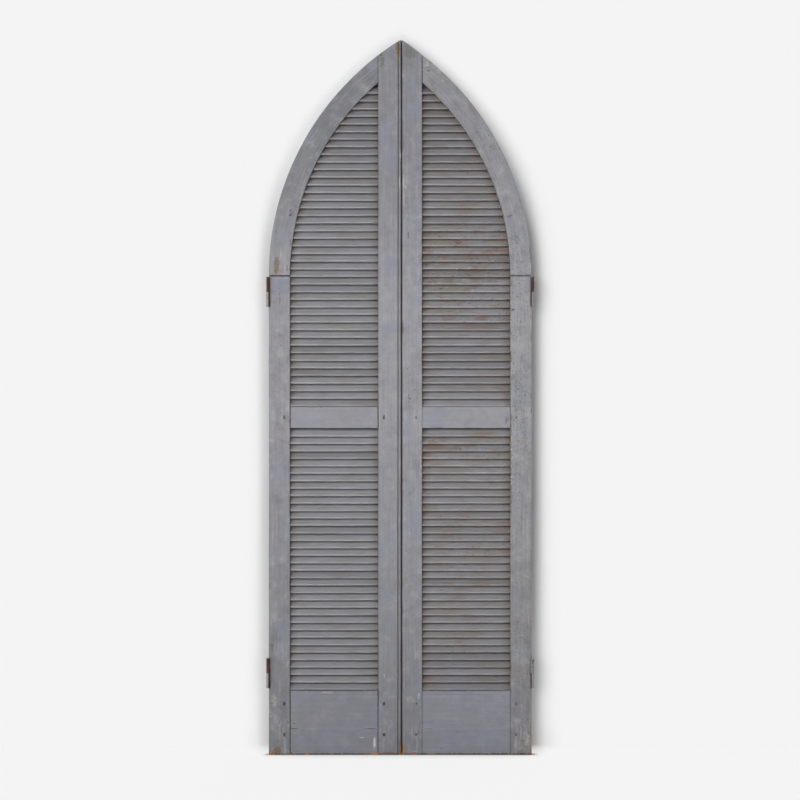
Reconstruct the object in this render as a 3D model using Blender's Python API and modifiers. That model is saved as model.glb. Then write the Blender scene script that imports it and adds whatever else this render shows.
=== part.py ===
"""A pair of pointed-arch louvered doors that hang on lift-off hinges.

Blender 4.5, metres, +Z up. The doors are shut and face -Y, and the origin is the middle of the pair's foot.
A distance called u runs outward from the centre line of the arch, so the same formulas make both doors.
"""

import math
from dataclasses import dataclass

import bmesh
import bpy
from mathutils import Matrix

# The pair as a whole
PAIR_WIDTH = 0.884
SPRING_HEIGHT = 1.611
ARCH_RISE = 0.794
DOOR_THICKNESS = 0.035
MEETING_GAP = 0.004

# Frame members; the arch heads are as wide as the hinge stiles they stand on
HINGE_STILE_WIDTH = 0.071
MEETING_STILE_WIDTH = 0.0665
BOTTOM_RAIL_HEIGHT = 0.217
MID_RAIL_BASE = 1.099
MID_RAIL_HEIGHT = 0.072

# Bead along the left door's meeting edge, which makes that stile wider
BEAD_WIDTH = 0.010
QUIRK_WIDTH = 0.003
BEAD_DROP = 0.0005

# Mortise and tenon joints
TENON_THICKNESS = 0.012
TENON_LENGTH = 0.045
TENON_SHOULDER = 0.012
FOOT_TENON_WIDTH = 0.040
HEAD_TENON_HEIGHT = 0.045
PEG_DIAMETER = 0.008
PEG_SETBACK = 0.019
LOW_PEG_HEIGHT = 0.068
HIGH_PEG_DROP = 0.045

# Louver slats
LOWER_SLATS = 35
UPPER_SLATS = 42
SLAT_WIDTH = 0.038
SLAT_THICKNESS = 0.0065
SLAT_TILT = math.radians(45)
TOP_SLAT_LENGTH = 0.043
HOUSING_DEPTH = 0.008

# Lift-off hinges
LEAF_HEIGHT = 0.100
LEAF_DEPTH = 0.027
LEAF_THICKNESS = 0.003
LEAF_GAP = 0.0052
BARREL_DIAMETER = 0.011
BARREL_STANDOFF = 0.0005
PIN_DIAMETER = 0.005
PIN_CHAMFER = 0.0008
UPPER_HINGE_DROP = 0.004
LOWER_HINGE_RISE = 0.008

# Wood screws in the hinge leaves
SCREWS_PER_LEAF = 3
SCREW_SPACING = 0.036
SCREW_STAGGER = 0.005
SCREW_LENGTH = 0.030
SCREW_HEAD_DIAMETER = 0.0084
SCREW_SHANK_DIAMETER = 0.004
SCREW_TIP_SHARE = 0.7

# Gap between pieces that touch, and how far a cutter runs past what it cuts
CLEARANCE = 0.0003
OVERRUN = 0.01

# Facets
ARC_STEPS = 24
CROWN_STEPS = 3
BEAD_STEPS = 8
NOSE_STEPS = 3
BARREL_SIDES = 14
PEG_SIDES = 10
SCREW_SIDES = 8
SMOOTH_ANGLE = math.radians(40)
CHAMFER_ANGLE = math.radians(60)
MERGE_DISTANCE = CLEARANCE / 10

# Worked out from the sizes above
HALF_WIDTH = PAIR_WIDTH / 2
ARCH_CENTRE = (ARCH_RISE**2 - HALF_WIDTH**2) / (2 * HALF_WIDTH)
ARCH_RADIUS = HALF_WIDTH + ARCH_CENTRE
INNER_RADIUS = ARCH_RADIUS - HINGE_STILE_WIDTH
OPENING_OUTER = HALF_WIDTH - HINGE_STILE_WIDTH
OPENING_INNER = MEETING_STILE_WIDTH + (BEAD_WIDTH + MEETING_GAP) / 2
MID_RAIL_TOP = MID_RAIL_BASE + MID_RAIL_HEIGHT
APEX_HEIGHT = SPRING_HEIGHT + ARCH_RISE
BARREL_RADIUS = BARREL_DIAMETER / 2
AXIS_U = HALF_WIDTH + LEAF_GAP / 2
FRONT_Y = (BARREL_DIAMETER + BARREL_STANDOFF - DOOR_THICKNESS) / 2
BACK_Y = FRONT_Y + DOOR_THICKNESS
MIDDLE_Y = (FRONT_Y + BACK_Y) / 2
AXIS_Y = FRONT_Y - BARREL_STANDOFF - BARREL_RADIUS
HINGE_HEIGHTS = {
    "upper": SPRING_HEIGHT - UPPER_HINGE_DROP - LEAF_HEIGHT / 2,
    "lower": BOTTOM_RAIL_HEIGHT + LOWER_HINGE_RISE + LEAF_HEIGHT / 2,
}

# How outlines drawn flat are stood up: facing the front, or facing along the width
FACING_FRONT = (math.pi / 2, 0, 0)
FACING_SIDE = (math.pi / 2, 0, math.pi / 2)


@dataclass(frozen=True)
class Door:
    """One door of the pair: its side (-1 left, 1 right) and where its meeting edge lies."""

    name: str
    side: int
    bead: float

    @property
    def meeting_edge(self):
        """Place of the meeting edge along u."""
        return OPENING_INNER - MEETING_STILE_WIDTH - self.bead

    @property
    def axis(self):
        """Foot of the hinge axis in the world."""
        return (self.side * AXIS_U, AXIS_Y, 0)


DOORS = (Door("left", -1, BEAD_WIDTH), Door("right", 1, 0))


def start_scene():
    """Empty the scene and give it one collection for the parts and one for the cutters."""
    for obj in list(bpy.data.objects):
        bpy.data.objects.remove(obj)
    made = []
    for name in ("pair_of_arched_louvered_doors", "cutters"):
        collection = bpy.data.collections.new(name)
        bpy.context.scene.collection.children.link(collection)
        made.append(collection)
    return made


PARTS, TOOLS = start_scene()


def material(name, colour, roughness, metallic=0.0):
    """One Principled BSDF material."""
    made = bpy.data.materials.new(name)
    made.use_nodes = True
    shader = made.node_tree.nodes["Principled BSDF"]
    shader.inputs["Base Color"].default_value = (*colour, 1)
    shader.inputs["Roughness"].default_value = roughness
    shader.inputs["Metallic"].default_value = metallic
    return made


STILE_PAINT = material("grey_stile_paint", (0.29, 0.29, 0.31), 0.62)
LOUVER_PAINT = material("grey_louver_paint", (0.26, 0.26, 0.26), 0.68)
ARCH_PAINT = material("grey_arch_paint", (0.27, 0.27, 0.29), 0.62)
RAIL_PAINT = material("grey_rail_paint", (0.24, 0.24, 0.28), 0.60)
PEG_WOOD = material("dark_peg_wood", (0.09, 0.07, 0.06), 0.80)
LEAF_IRON = material("rusty_leaf_iron", (0.16, 0.07, 0.05), 0.75, 0.6)
PIN_STEEL = material("worn_pin_steel", (0.25, 0.22, 0.20), 0.45, 0.9)
SCREW_STEEL = material("rusty_screw_steel", (0.18, 0.10, 0.07), 0.65, 0.7)


def mesh_object(name, mesh, finish=None, location=(0, 0, 0), rotation=(0, 0, 0)):
    """Object for a mesh: a part if it has a finish, otherwise a cutter that is left out of the model."""
    obj = bpy.data.objects.new(name, mesh)
    obj.location = location
    obj.rotation_euler = rotation
    if finish:
        mesh.materials.append(finish)
        PARTS.objects.link(obj)
    else:
        obj.hide_render = True
        obj.display_type = "WIRE"
        TOOLS.objects.link(obj)
    return obj


def box(name, door, u_span, y_span, z_span, finish=None):
    """Square block between two values of u, y and z."""
    spans = (tuple(door.side * u for u in u_span), y_span, z_span)
    sizes = [abs(high - low) for low, high in spans]
    centre = [(low + high) / 2 for low, high in spans]
    shape = bmesh.new()
    bmesh.ops.create_cube(shape, size=1, matrix=Matrix.Diagonal((*sizes, 1)))
    return finish_mesh(name, shape, finish, centre)


def rod(name, radii, length, sides, location, rotation=(0, 0, 0), finish=None):
    """Round bar or cone along its own Z, with its two end radii."""
    shape = bmesh.new()
    bmesh.ops.create_cone(
        shape, cap_ends=True, segments=sides, radius1=radii[0], radius2=radii[1], depth=length
    )
    obj = finish_mesh(name, shape, finish, location, rotation)
    obj.data.shade_smooth()
    obj.data.set_sharp_from_angle(angle=SMOOTH_ANGLE)
    return obj


def finish_mesh(name, shape, finish, location, rotation=(0, 0, 0)):
    """Turn a bmesh into a placed object."""
    mesh = bpy.data.meshes.new(name)
    shape.to_mesh(mesh)
    shape.free()
    return mesh_object(name, mesh, finish, location, rotation)


def extrusion(name, outlines, thickness, location, rotation, finish=None):
    """Flat closed outlines, filled and given a thickness about their plane, as one mesh object."""
    curve = bpy.data.curves.new(name, "CURVE")
    curve.dimensions = "2D"
    curve.fill_mode = "BOTH"
    curve.extrude = thickness / 2
    for outline in outlines:
        spline = curve.splines.new("POLY")
        spline.points.add(len(outline) - 1)
        for point, (across, up) in zip(spline.points, outline):
            point.co = (across, up, 0, 1)
        spline.use_cyclic_u = True
    drawn = bpy.data.objects.new(name + "_outline", curve)
    TOOLS.objects.link(drawn)
    drawn_now = drawn.evaluated_get(bpy.context.evaluated_depsgraph_get())
    mesh = bpy.data.meshes.new_from_object(drawn_now)
    bpy.data.objects.remove(drawn)
    shape = bmesh.new()
    shape.from_mesh(mesh)
    bpy.data.meshes.remove(mesh)
    bmesh.ops.remove_doubles(shape, verts=shape.verts, dist=MERGE_DISTANCE)
    bmesh.ops.recalc_face_normals(shape, faces=shape.faces)
    return finish_mesh(name, shape, finish, location, rotation)


def combine(target, tool, operation):
    """Join, cut or trim one object with another."""
    modifier = target.modifiers.new(tool.name, "BOOLEAN")
    modifier.object = tool
    modifier.operation = operation
    modifier.solver = "EXACT"


def arc(radius, u_end, steps):
    """Points (u, z) of an arch curve, from the spring line up to where it reaches u_end."""
    end = math.acos((u_end + ARCH_CENTRE) / radius)
    angles = [end * step / steps for step in range(steps + 1)]
    return [
        (radius * math.cos(angle) - ARCH_CENTRE, SPRING_HEIGHT + radius * math.sin(angle)) for angle in angles
    ]


def arch_height(radius, u):
    """Height of an arch curve over a place along u, on either side of the point of the arch."""
    return SPRING_HEIGHT + math.sqrt(radius**2 - (abs(u) + ARCH_CENTRE) ** 2)


def slab(name, door, outline, thickness, finish=None):
    """Board that faces the front, from an outline in u and z."""
    drawn = [(door.side * u, z) for u, z in outline]
    return extrusion(name, [drawn], thickness, (0, MIDDLE_Y, 0), FACING_FRONT, finish)


def grown(span, gap):
    """A span made longer by a gap at both ends."""
    return (min(span) - gap, max(span) + gap)


def tenon(name, door, u_span, z_span, gap=0.0):
    """Tongue in the middle of the thickness, or with a gap the mortise that takes it."""
    y_span = grown((MIDDLE_Y, MIDDLE_Y), TENON_THICKNESS / 2 + gap)
    return box(name, door, grown(u_span, gap), y_span, grown(z_span, gap))


def slat_profile(z):
    """Cross-section of one slat at a height: a flat board with round edges, low at the front."""
    reach = (SLAT_WIDTH - SLAT_THICKNESS) / 2
    radius = SLAT_THICKNESS / 2
    points = []
    for end in (0, math.pi):
        along = SLAT_TILT + end
        centre = (MIDDLE_Y + reach * math.cos(along), z + reach * math.sin(along))
        for step in range(NOSE_STEPS + 1):
            angle = along - math.pi / 2 + math.pi * step / NOSE_STEPS
            points.append((centre[0] + radius * math.cos(angle), centre[1] + radius * math.sin(angle)))
    return points


def housing_profile(z):
    """Cross-section of the square-ended housing that takes a slat's end, with clearance all round."""
    along = SLAT_WIDTH / 2 + CLEARANCE
    across = SLAT_THICKNESS / 2 + CLEARANCE
    corners = ((-along, -across), (along, -across), (along, across), (-along, across))
    cos, sin = math.cos(SLAT_TILT), math.sin(SLAT_TILT)
    return [(MIDDLE_Y + a * cos - b * sin, z + a * sin + b * cos) for a, b in corners]


def slat_heights():
    """Centre heights of all slats: one bank between the rails, one from the mid rail up into the arch."""
    rise = (SLAT_WIDTH - SLAT_THICKNESS) * math.sin(SLAT_TILT) + SLAT_THICKNESS
    seat = rise / 2 + CLEARANCE
    top_slat = arch_height(INNER_RADIUS, OPENING_INNER + TOP_SLAT_LENGTH) + rise / 2
    banks = (
        (LOWER_SLATS, BOTTOM_RAIL_HEIGHT + seat, MID_RAIL_BASE - seat),
        (UPPER_SLATS, MID_RAIL_TOP + seat, top_slat),
    )
    return [low + (high - low) * k / (count - 1) for count, low, high in banks for k in range(count)]


def slats(name, door, profile, reach):
    """All slats of a door, or the cutters of their housings, which reach past the edge of the opening."""
    ends = (OPENING_INNER - HOUSING_DEPTH, OPENING_OUTER + reach + OVERRUN)
    profiles = [profile(z) for z in slat_heights()]
    middle = door.side * sum(ends) / 2
    bank = extrusion(name, profiles, ends[1] - ends[0], (middle, 0, 0), FACING_SIDE)
    inside = OPENING_INNER - HOUSING_DEPTH - OVERRUN
    outline = [(inside, 0), (OPENING_OUTER + reach, 0), *arc(INNER_RADIUS + reach, inside, ARC_STEPS)]
    trim = slab(name + "_trim", door, outline, DOOR_THICKNESS + 2 * OVERRUN)
    combine(bank, trim, "INTERSECT")
    return bank


def rail(name, door, z_span, finish):
    """Rail between the stiles, with a tenon at each end."""
    shoulders = grown((OPENING_INNER, OPENING_OUTER), -CLEARANCE)
    made = box(name, door, shoulders, (FRONT_Y, BACK_Y), z_span, finish)
    combine(made, tenon(name + "_tenon", door, *tenon_spans(z_span)), "UNION")
    return made


def tenon_spans(z_span):
    """How far a rail's tenons reach along u and z."""
    return grown((OPENING_INNER, OPENING_OUTER), TENON_LENGTH), grown(z_span, -TENON_SHOULDER)


def pegs(door, rail_name, heights, members):
    """Round pegs through a rail's tenons and the stiles, each in its hole."""
    ends = {"inner": OPENING_INNER - PEG_SETBACK, "outer": OPENING_OUTER + PEG_SETBACK}
    made = []
    for end, u in ends.items():
        for place, z in heights.items():
            name = "_".join(word for word in (door.name, rail_name, "peg", end, place) if word)
            at = (door.side * u, MIDDLE_Y, z)
            radius = PEG_DIAMETER / 2
            turned = (math.pi / 2, 0, 0)
            made.append(rod(name, (radius, radius), DOOR_THICKNESS, PEG_SIDES, at, turned, PEG_WOOD))
            hole = radius + CLEARANCE
            length = DOOR_THICKNESS + 2 * OVERRUN
            drill = rod(name + "_hole", (hole, hole), length, PEG_SIDES, at, turned)
            for member in members[end]:
                combine(member, drill, "DIFFERENCE")
    return made


def bead_cutter(door):
    """Shape that leaves a round bead and its quirk along the meeting edge."""
    edge = door.side * door.meeting_edge
    radius = BEAD_WIDTH / 2
    depth = FRONT_Y + BEAD_DROP + radius
    centre = edge + BEAD_DROP - radius
    turns = [math.pi * step / BEAD_STEPS for step in range(BEAD_STEPS + 1)]
    round_part = [(centre - radius * math.cos(turn), depth - radius * math.sin(turn)) for turn in turns]
    quirk = centre - radius - QUIRK_WIDTH
    outer = edge + OVERRUN
    above = FRONT_Y - OVERRUN
    outline = [(quirk, above), (quirk, depth), *round_part, (outer, depth), (outer, above)]
    height = APEX_HEIGHT + 2 * OVERRUN
    return extrusion(door.name + "_bead_cut", [outline], height, (0, 0, APEX_HEIGHT / 2), (0, 0, 0))


def meeting_stile(door):
    """Full-height stile at the middle of the pair, its top cut to the arch."""
    edge = door.meeting_edge
    sweep = [OPENING_INNER + (max(edge, 0) - OPENING_INNER) * k / CROWN_STEPS for k in range(CROWN_STEPS + 1)]
    if edge < 0:
        sweep.append(edge)
    crown = [(u, arch_height(ARCH_RADIUS, u)) for u in sweep]
    name = door.name + "_louvered_stile"
    made = slab(name, door, [(edge, 0), (OPENING_INNER, 0), *crown], DOOR_THICKNESS, LOUVER_PAINT)
    if door.bead:
        combine(made, bead_cutter(door), "DIFFERENCE")
    return made


def hinge_stile(door):
    """Outer stile, which carries the hinges and ends in a stub tenon at the spring line."""
    span = (OPENING_OUTER, HALF_WIDTH)
    top = SPRING_HEIGHT - CLEARANCE
    made = box(door.name + "_hinge_stile", door, span, (FRONT_Y, BACK_Y), (0, top), STILE_PAINT)
    combine(made, tenon(door.name + "_foot_tenon", door, *foot_tenon_spans()), "UNION")
    return made


def foot_tenon_spans():
    """How far the stub tenon on a hinge stile reaches along u and z."""
    middle = (OPENING_OUTER + HALF_WIDTH) / 2
    across = grown((middle, middle), FOOT_TENON_WIDTH / 2)
    return across, (SPRING_HEIGHT - TENON_LENGTH, SPRING_HEIGHT + TENON_LENGTH)


def arch_head(door):
    """Curved board from the spring line to the meeting stile, with a tenon into that stile."""
    end = OPENING_INNER + CLEARANCE
    outline = [*arc(ARCH_RADIUS, end, ARC_STEPS), *reversed(arc(INNER_RADIUS, end, ARC_STEPS))]
    made = slab(door.name + "_arch_head", door, outline, DOOR_THICKNESS, ARCH_PAINT)
    combine(made, tenon(door.name + "_head_tenon", door, *head_tenon_spans()), "UNION")
    combine(made, tenon(door.name + "_foot_mortise", door, *foot_tenon_spans(), CLEARANCE), "DIFFERENCE")
    return made


def head_tenon_spans():
    """How far an arch head's tenon reaches along u and z."""
    middle = (arch_height(ARCH_RADIUS, OPENING_INNER) + arch_height(INNER_RADIUS, OPENING_INNER)) / 2
    up = grown((middle, middle), HEAD_TENON_HEIGHT / 2)
    return (OPENING_INNER - TENON_LENGTH, OPENING_INNER + HEAD_TENON_HEIGHT / 2), up


def screw_places(height):
    """Places (y, z) of a leaf's screws, staggered about the middle of its depth."""
    made = []
    for number in range(SCREWS_PER_LEAF):
        offset = number - (SCREWS_PER_LEAF - 1) / 2
        stagger = SCREW_STAGGER * (1 if number % 2 else -1) / 2
        made.append((FRONT_Y + LEAF_DEPTH / 2 - stagger, height + offset * SCREW_SPACING))
    return made


def leaf(name, door, height, lift):
    """Hinge leaf with its rolled knuckle and countersunk holes.

    The door's leaf has its knuckle on the upper half (lift 1), the jamb's leaf on the lower half (lift -1).
    """
    back = FRONT_Y + LEAF_DEPTH
    low = CLEARANCE / 2
    high = LEAF_HEIGHT / 2
    outline = [(AXIS_Y, low), (AXIS_Y, high), (back, high), (back, -high), (FRONT_Y, -high), (FRONT_Y, low)]
    middle_u = AXIS_U - lift * (LEAF_GAP + LEAF_THICKNESS) / 2
    stood = [(y, lift * z) for y, z in outline]
    place = (door.side * middle_u, 0, height)
    made = extrusion(name, [stood], LEAF_THICKNESS, place, FACING_SIDE, LEAF_IRON)
    length = high - low
    at = (door.side * AXIS_U, AXIS_Y, height + lift * (high + low) / 2)
    barrel = rod(name + "_barrel", (BARREL_RADIUS, BARREL_RADIUS), length, BARREL_SIDES, at)
    combine(made, barrel, "UNION")
    bore = PIN_DIAMETER / 2 + CLEARANCE
    reamer = rod(name + "_bore", (bore, bore), length + 2 * OVERRUN, BARREL_SIDES, at)
    combine(made, reamer, "DIFFERENCE")
    small = SCREW_SHANK_DIAMETER / 2 + CLEARANCE
    large = SCREW_HEAD_DIAMETER / 2 + CLEARANCE
    flare = (large - small) / 2
    turned = (0, lift * door.side * math.pi / 2, 0)
    for number, (y, z) in enumerate(screw_places(height), 1):
        sink = rod(
            f"{name}_sink_{number}",
            (small - flare, large + flare),
            2 * LEAF_THICKNESS,
            SCREW_SIDES,
            (door.side * middle_u, y, z),
            turned,
        )
        combine(made, sink, "DIFFERENCE")
    return made


def screw(name, door, place):
    """Countersunk wood screw, turned about its own axis, its head in the face of the door's leaf."""
    head = SCREW_HEAD_DIAMETER / 2
    shank = SCREW_SHANK_DIAMETER / 2
    taper = SCREW_LENGTH * SCREW_TIP_SHARE
    profile = [(0, 0), (head, 0), (shank, -LEAF_THICKNESS), (shank, -taper), (0, -SCREW_LENGTH)]
    mesh = bpy.data.meshes.new(name)
    edges = [(index, index + 1) for index in range(len(profile) - 1)]
    mesh.from_pydata([(radius, 0, z) for radius, z in profile], edges, [])
    at = (door.side * HALF_WIDTH, *place)
    made = mesh_object(name, mesh, SCREW_STEEL, at, (0, door.side * math.pi / 2, 0))
    turn = made.modifiers.new("turned", "SCREW")
    turn.steps = SCREW_SIDES
    turn.render_steps = SCREW_SIDES
    turn.use_merge_vertices = True
    turn.merge_threshold = MERGE_DISTANCE
    return made


def pilot_hole(name, door, place):
    """Hole in the stile that a screw's shank goes into."""
    radius = SCREW_SHANK_DIAMETER / 2 + CLEARANCE
    length = 2 * (SCREW_LENGTH + CLEARANCE)
    at = (door.side * HALF_WIDTH, *place)
    return rod(name, (radius, radius), length, SCREW_SIDES, at, (0, math.pi / 2, 0))


def hang(door, name, height, stile):
    """Fit one hinge: the door's leaf let into the stile, its screws, the jamb's leaf and the pin."""
    title = f"{door.name}_{name}"
    moving = [leaf(title + "_hinge_leaf", door, height, 1)]
    leaf(title + "_jamb_leaf", door, height, -1)
    recess = box(
        title + "_recess",
        door,
        (HALF_WIDTH - LEAF_THICKNESS - CLEARANCE, HALF_WIDTH + OVERRUN),
        (FRONT_Y - OVERRUN, FRONT_Y + LEAF_DEPTH + CLEARANCE),
        grown((height, height), LEAF_HEIGHT / 2 + CLEARANCE),
    )
    combine(stile, recess, "DIFFERENCE")
    for number, place in enumerate(screw_places(height), 1):
        moving.append(screw(f"{title}_hinge_screw_{number}", door, place))
        combine(stile, pilot_hole(f"{title}_pilot_{number}", door, place), "DIFFERENCE")
    radius = PIN_DIAMETER / 2
    at = (door.side * AXIS_U, AXIS_Y, height)
    pin = rod(title + "_hinge_pin", (radius, radius), LEAF_HEIGHT, BARREL_SIDES, at, finish=PIN_STEEL)
    edge = pin.modifiers.new("chamfer", "BEVEL")
    edge.width = PIN_CHAMFER
    edge.segments = 1
    edge.limit_method = "ANGLE"
    edge.angle_limit = CHAMFER_ANGLE
    return moving


def build_door(door):
    """Make one door and hang its pieces on an empty on the hinge axis.

    The meeting stile carries the slats, which are joined to it once it is cut.
    """
    inner = meeting_stile(door)
    outer = hinge_stile(door)
    head = arch_head(door)
    bottom_span = (0, BOTTOM_RAIL_HEIGHT)
    mid_span = (MID_RAIL_BASE, MID_RAIL_TOP)
    bottom = rail(door.name + "_bottom_rail", door, bottom_span, RAIL_PAINT)
    mid = rail(door.name + "_mid_rail", door, mid_span, RAIL_PAINT)
    for name, span in (("bottom", bottom_span), ("mid", mid_span)):
        mortise = tenon(f"{door.name}_{name}_mortise", door, *tenon_spans(span), CLEARANCE)
        combine(inner, mortise, "DIFFERENCE")
        combine(outer, mortise, "DIFFERENCE")
    combine(inner, tenon(door.name + "_head_mortise", door, *head_tenon_spans(), CLEARANCE), "DIFFERENCE")
    pieces = [inner, outer, head, bottom, mid]
    bottom_pegs = {"lower": LOW_PEG_HEIGHT, "upper": BOTTOM_RAIL_HEIGHT - HIGH_PEG_DROP}
    pieces += pegs(door, "bottom_rail", bottom_pegs, {"inner": (inner, bottom), "outer": (outer, bottom)})
    mid_pegs = {"": sum(mid_span) / 2}
    pieces += pegs(door, "mid_rail", mid_pegs, {"inner": (inner, mid), "outer": (outer, mid)})
    for name, height in HINGE_HEIGHTS.items():
        pieces += hang(door, name, height, outer)
    combine(inner, slats(door.name + "_slats", door, slat_profile, HOUSING_DEPTH), "UNION")
    housings = slats(door.name + "_housings", door, housing_profile, HOUSING_DEPTH + CLEARANCE)
    combine(outer, housings, "DIFFERENCE")
    combine(head, housings, "DIFFERENCE")
    axis = bpy.data.objects.new(door.name + "_door_axis", None)
    axis.location = door.axis
    PARTS.objects.link(axis)
    for piece in pieces:
        piece.parent = axis
        piece.matrix_parent_inverse = Matrix.Translation(axis.location).inverted()


for each_door in DOORS:
    build_door(each_door)
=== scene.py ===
"""Looks for a pair of weathered louvered doors under a pointed arch.

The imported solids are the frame. Each sub-assembly here builds the meshes that stand for its solids, dresses
them in procedural finishes and hands them to the body that carries them. Lengths are in metres. The doors
are shut and face -Y, and u runs outward from the centre line of the arch, so one formula serves both doors.
"""

from __future__ import annotations

import logging
import math
import random
from collections.abc import Callable
from dataclasses import dataclass
from enum import Enum
from typing import Any

import bmesh
import bpy
import numpy as np
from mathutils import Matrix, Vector

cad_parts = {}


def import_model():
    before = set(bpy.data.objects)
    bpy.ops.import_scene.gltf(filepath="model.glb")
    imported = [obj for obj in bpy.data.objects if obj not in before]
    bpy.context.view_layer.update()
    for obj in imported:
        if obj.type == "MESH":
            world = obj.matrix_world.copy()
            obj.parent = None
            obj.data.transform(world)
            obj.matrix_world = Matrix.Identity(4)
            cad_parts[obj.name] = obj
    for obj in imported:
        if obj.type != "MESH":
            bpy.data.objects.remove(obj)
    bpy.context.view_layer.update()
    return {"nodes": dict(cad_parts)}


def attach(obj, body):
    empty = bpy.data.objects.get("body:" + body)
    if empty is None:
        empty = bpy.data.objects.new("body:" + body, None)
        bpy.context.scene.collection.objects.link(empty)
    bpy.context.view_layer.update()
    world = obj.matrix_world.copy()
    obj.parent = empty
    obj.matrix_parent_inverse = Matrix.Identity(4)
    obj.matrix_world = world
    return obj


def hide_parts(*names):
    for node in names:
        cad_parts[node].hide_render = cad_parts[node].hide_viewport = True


LOG = logging.getLogger("louvered_doors")

Colour = tuple[float, float, float]
Point = tuple[float, float, float]
Line = list[tuple[float, float]]


def shade(red: int, green: int, blue: int) -> Colour:
    """Turn a colour as it looks on a screen into the linear values that a shader takes.

    Args:
        red: Red from 0 to 255.
        green: Green from 0 to 255.
        blue: Blue from 0 to 255.

    Returns:
        The linear colour.
    """

    def linear(level: int) -> float:
        """Linear share of one level."""
        share = level / 255
        return share / 12.92 if share <= 0.04045 else ((share + 0.055) / 1.055) ** 2.4

    return linear(red), linear(green), linear(blue)


class Value:
    """A node's output that can be used in a Python expression."""

    def __init__(self, graph: Graph, socket: bpy.types.NodeSocket) -> None:
        """Wrap one output socket of a graph."""
        self.graph = graph
        self.socket = socket

    def maths(self, operation: str, first: Value | float, second: Value | float = 0.0) -> Value:
        """Add one Math node.

        Args:
            operation: Name of the node's operation.
            first: Its first operand.
            second: Its second operand.

        Returns:
            The result.
        """
        return self.graph.add("ShaderNodeMath", {"operation": operation}, {0: first, 1: second})

    def also(self, output: str | int) -> Value:
        """Another output of the same node."""
        return Value(self.graph, self.socket.node.outputs[output])

    def __add__(self, other: Value | float) -> Value:
        """Sum."""
        return self.maths("ADD", self, other)

    __radd__ = __add__

    def __sub__(self, other: Value | float) -> Value:
        """Difference."""
        return self.maths("SUBTRACT", self, other)

    def __rsub__(self, other: float) -> Value:
        """Difference from a number."""
        return self.maths("SUBTRACT", other, self)

    def __mul__(self, other: Value | float) -> Value:
        """Product."""
        return self.maths("MULTIPLY", self, other)

    __rmul__ = __mul__

    def __truediv__(self, other: Value | float) -> Value:
        """Quotient."""
        return self.maths("DIVIDE", self, other)

    def __rtruediv__(self, other: float) -> Value:
        """Quotient of a number."""
        return self.maths("DIVIDE", other, self)

    def __abs__(self) -> Value:
        """Size without sign."""
        return self.maths("ABSOLUTE", self)

    def least(self, other: Value | float) -> Value:
        """The smaller of two values."""
        return self.maths("MINIMUM", self, other)

    def most(self, other: Value | float) -> Value:
        """The larger of two values."""
        return self.maths("MAXIMUM", self, other)

    def root(self) -> Value:
        """Square root."""
        return self.maths("SQRT", self)

    def above(self, limit: float) -> Value:
        """1 where the value is above a limit, otherwise 0."""
        return self.maths("GREATER_THAN", self, limit)

    def ramp(self, low: float, high: float) -> Value:
        """Smooth step from 0 at low to 1 at high; low may be the larger one."""
        return self.graph.add(
            "ShaderNodeMapRange", {"interpolation_type": "SMOOTHSTEP"}, {0: self, 1: low, 2: high}
        )


class Graph:
    """A node tree of a material or of a geometry, and the ways nodes are added to it."""

    def __init__(self, tree: bpy.types.NodeTree) -> None:
        """Take over a tree."""
        self.tree = tree

    def add(
        self,
        kind: str,
        settings: dict[str, Any] | None = None,
        inputs: dict[str | int, Any] | None = None,
        output: str | int = 0,
    ) -> Value:
        """Add one node, give it its settings, then its values and links.

        Args:
            kind: Type name of the node.
            settings: Properties that are set first.
            inputs: Values, colours or links by socket name or place.
            output: Output that is returned.

        Returns:
            The chosen output.
        """
        node = self.tree.nodes.new(kind)
        for name, setting in (settings or {}).items():
            setattr(node, name, setting)
        for key, given in (inputs or {}).items():
            if isinstance(given, Value):
                self.tree.links.new(given.socket, node.inputs[key])
            else:
                node.inputs[key].default_value = given
        return Value(self, node.outputs[output] if node.outputs else None)

    def parts(self, vector: Value) -> tuple[Value, Value, Value]:
        """The three numbers of a vector."""
        first = self.add("ShaderNodeSeparateXYZ", inputs={0: vector})
        return first, first.also(1), first.also(2)

    def vector(self, x: Value | float, y: Value | float, z: Value | float) -> Value:
        """A vector from three numbers."""
        return self.add("ShaderNodeCombineXYZ", inputs={0: x, 1: y, 2: z})

    def noise(self, place: Value, scale: float, detail: float = 3.0, roughness: float = 0.55) -> Value:
        """Smooth noise from 0 to 1 about 0.5, at a number of waves per metre."""
        inputs = {"Vector": place, "Scale": scale, "Detail": detail, "Roughness": roughness}
        return self.add("ShaderNodeTexNoise", inputs=inputs)

    def mix(self, share: Value | float, first: Value | Colour, second: Value | Colour) -> Value:
        """Blend two colours.

        Args:
            share: Share of the second colour.
            first: Colour at share 0.
            second: Colour at share 1.

        Returns:
            The blended colour.
        """
        colours = [given if isinstance(given, Value) else (*given, 1.0) for given in (first, second)]
        inputs = {0: share, 6: colours[0], 7: colours[1]}
        return self.add("ShaderNodeMix", {"data_type": "RGBA"}, inputs, 2)

    def background_rays(self) -> Value:
        """1 for rays that show the background: the camera's own, and those off gloss or through glass."""
        rays = self.add("ShaderNodeLightPath", output="Is Camera Ray")
        return rays.most(rays.also("Is Glossy Ray")).most(rays.also("Is Transmission Ray"))


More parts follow.
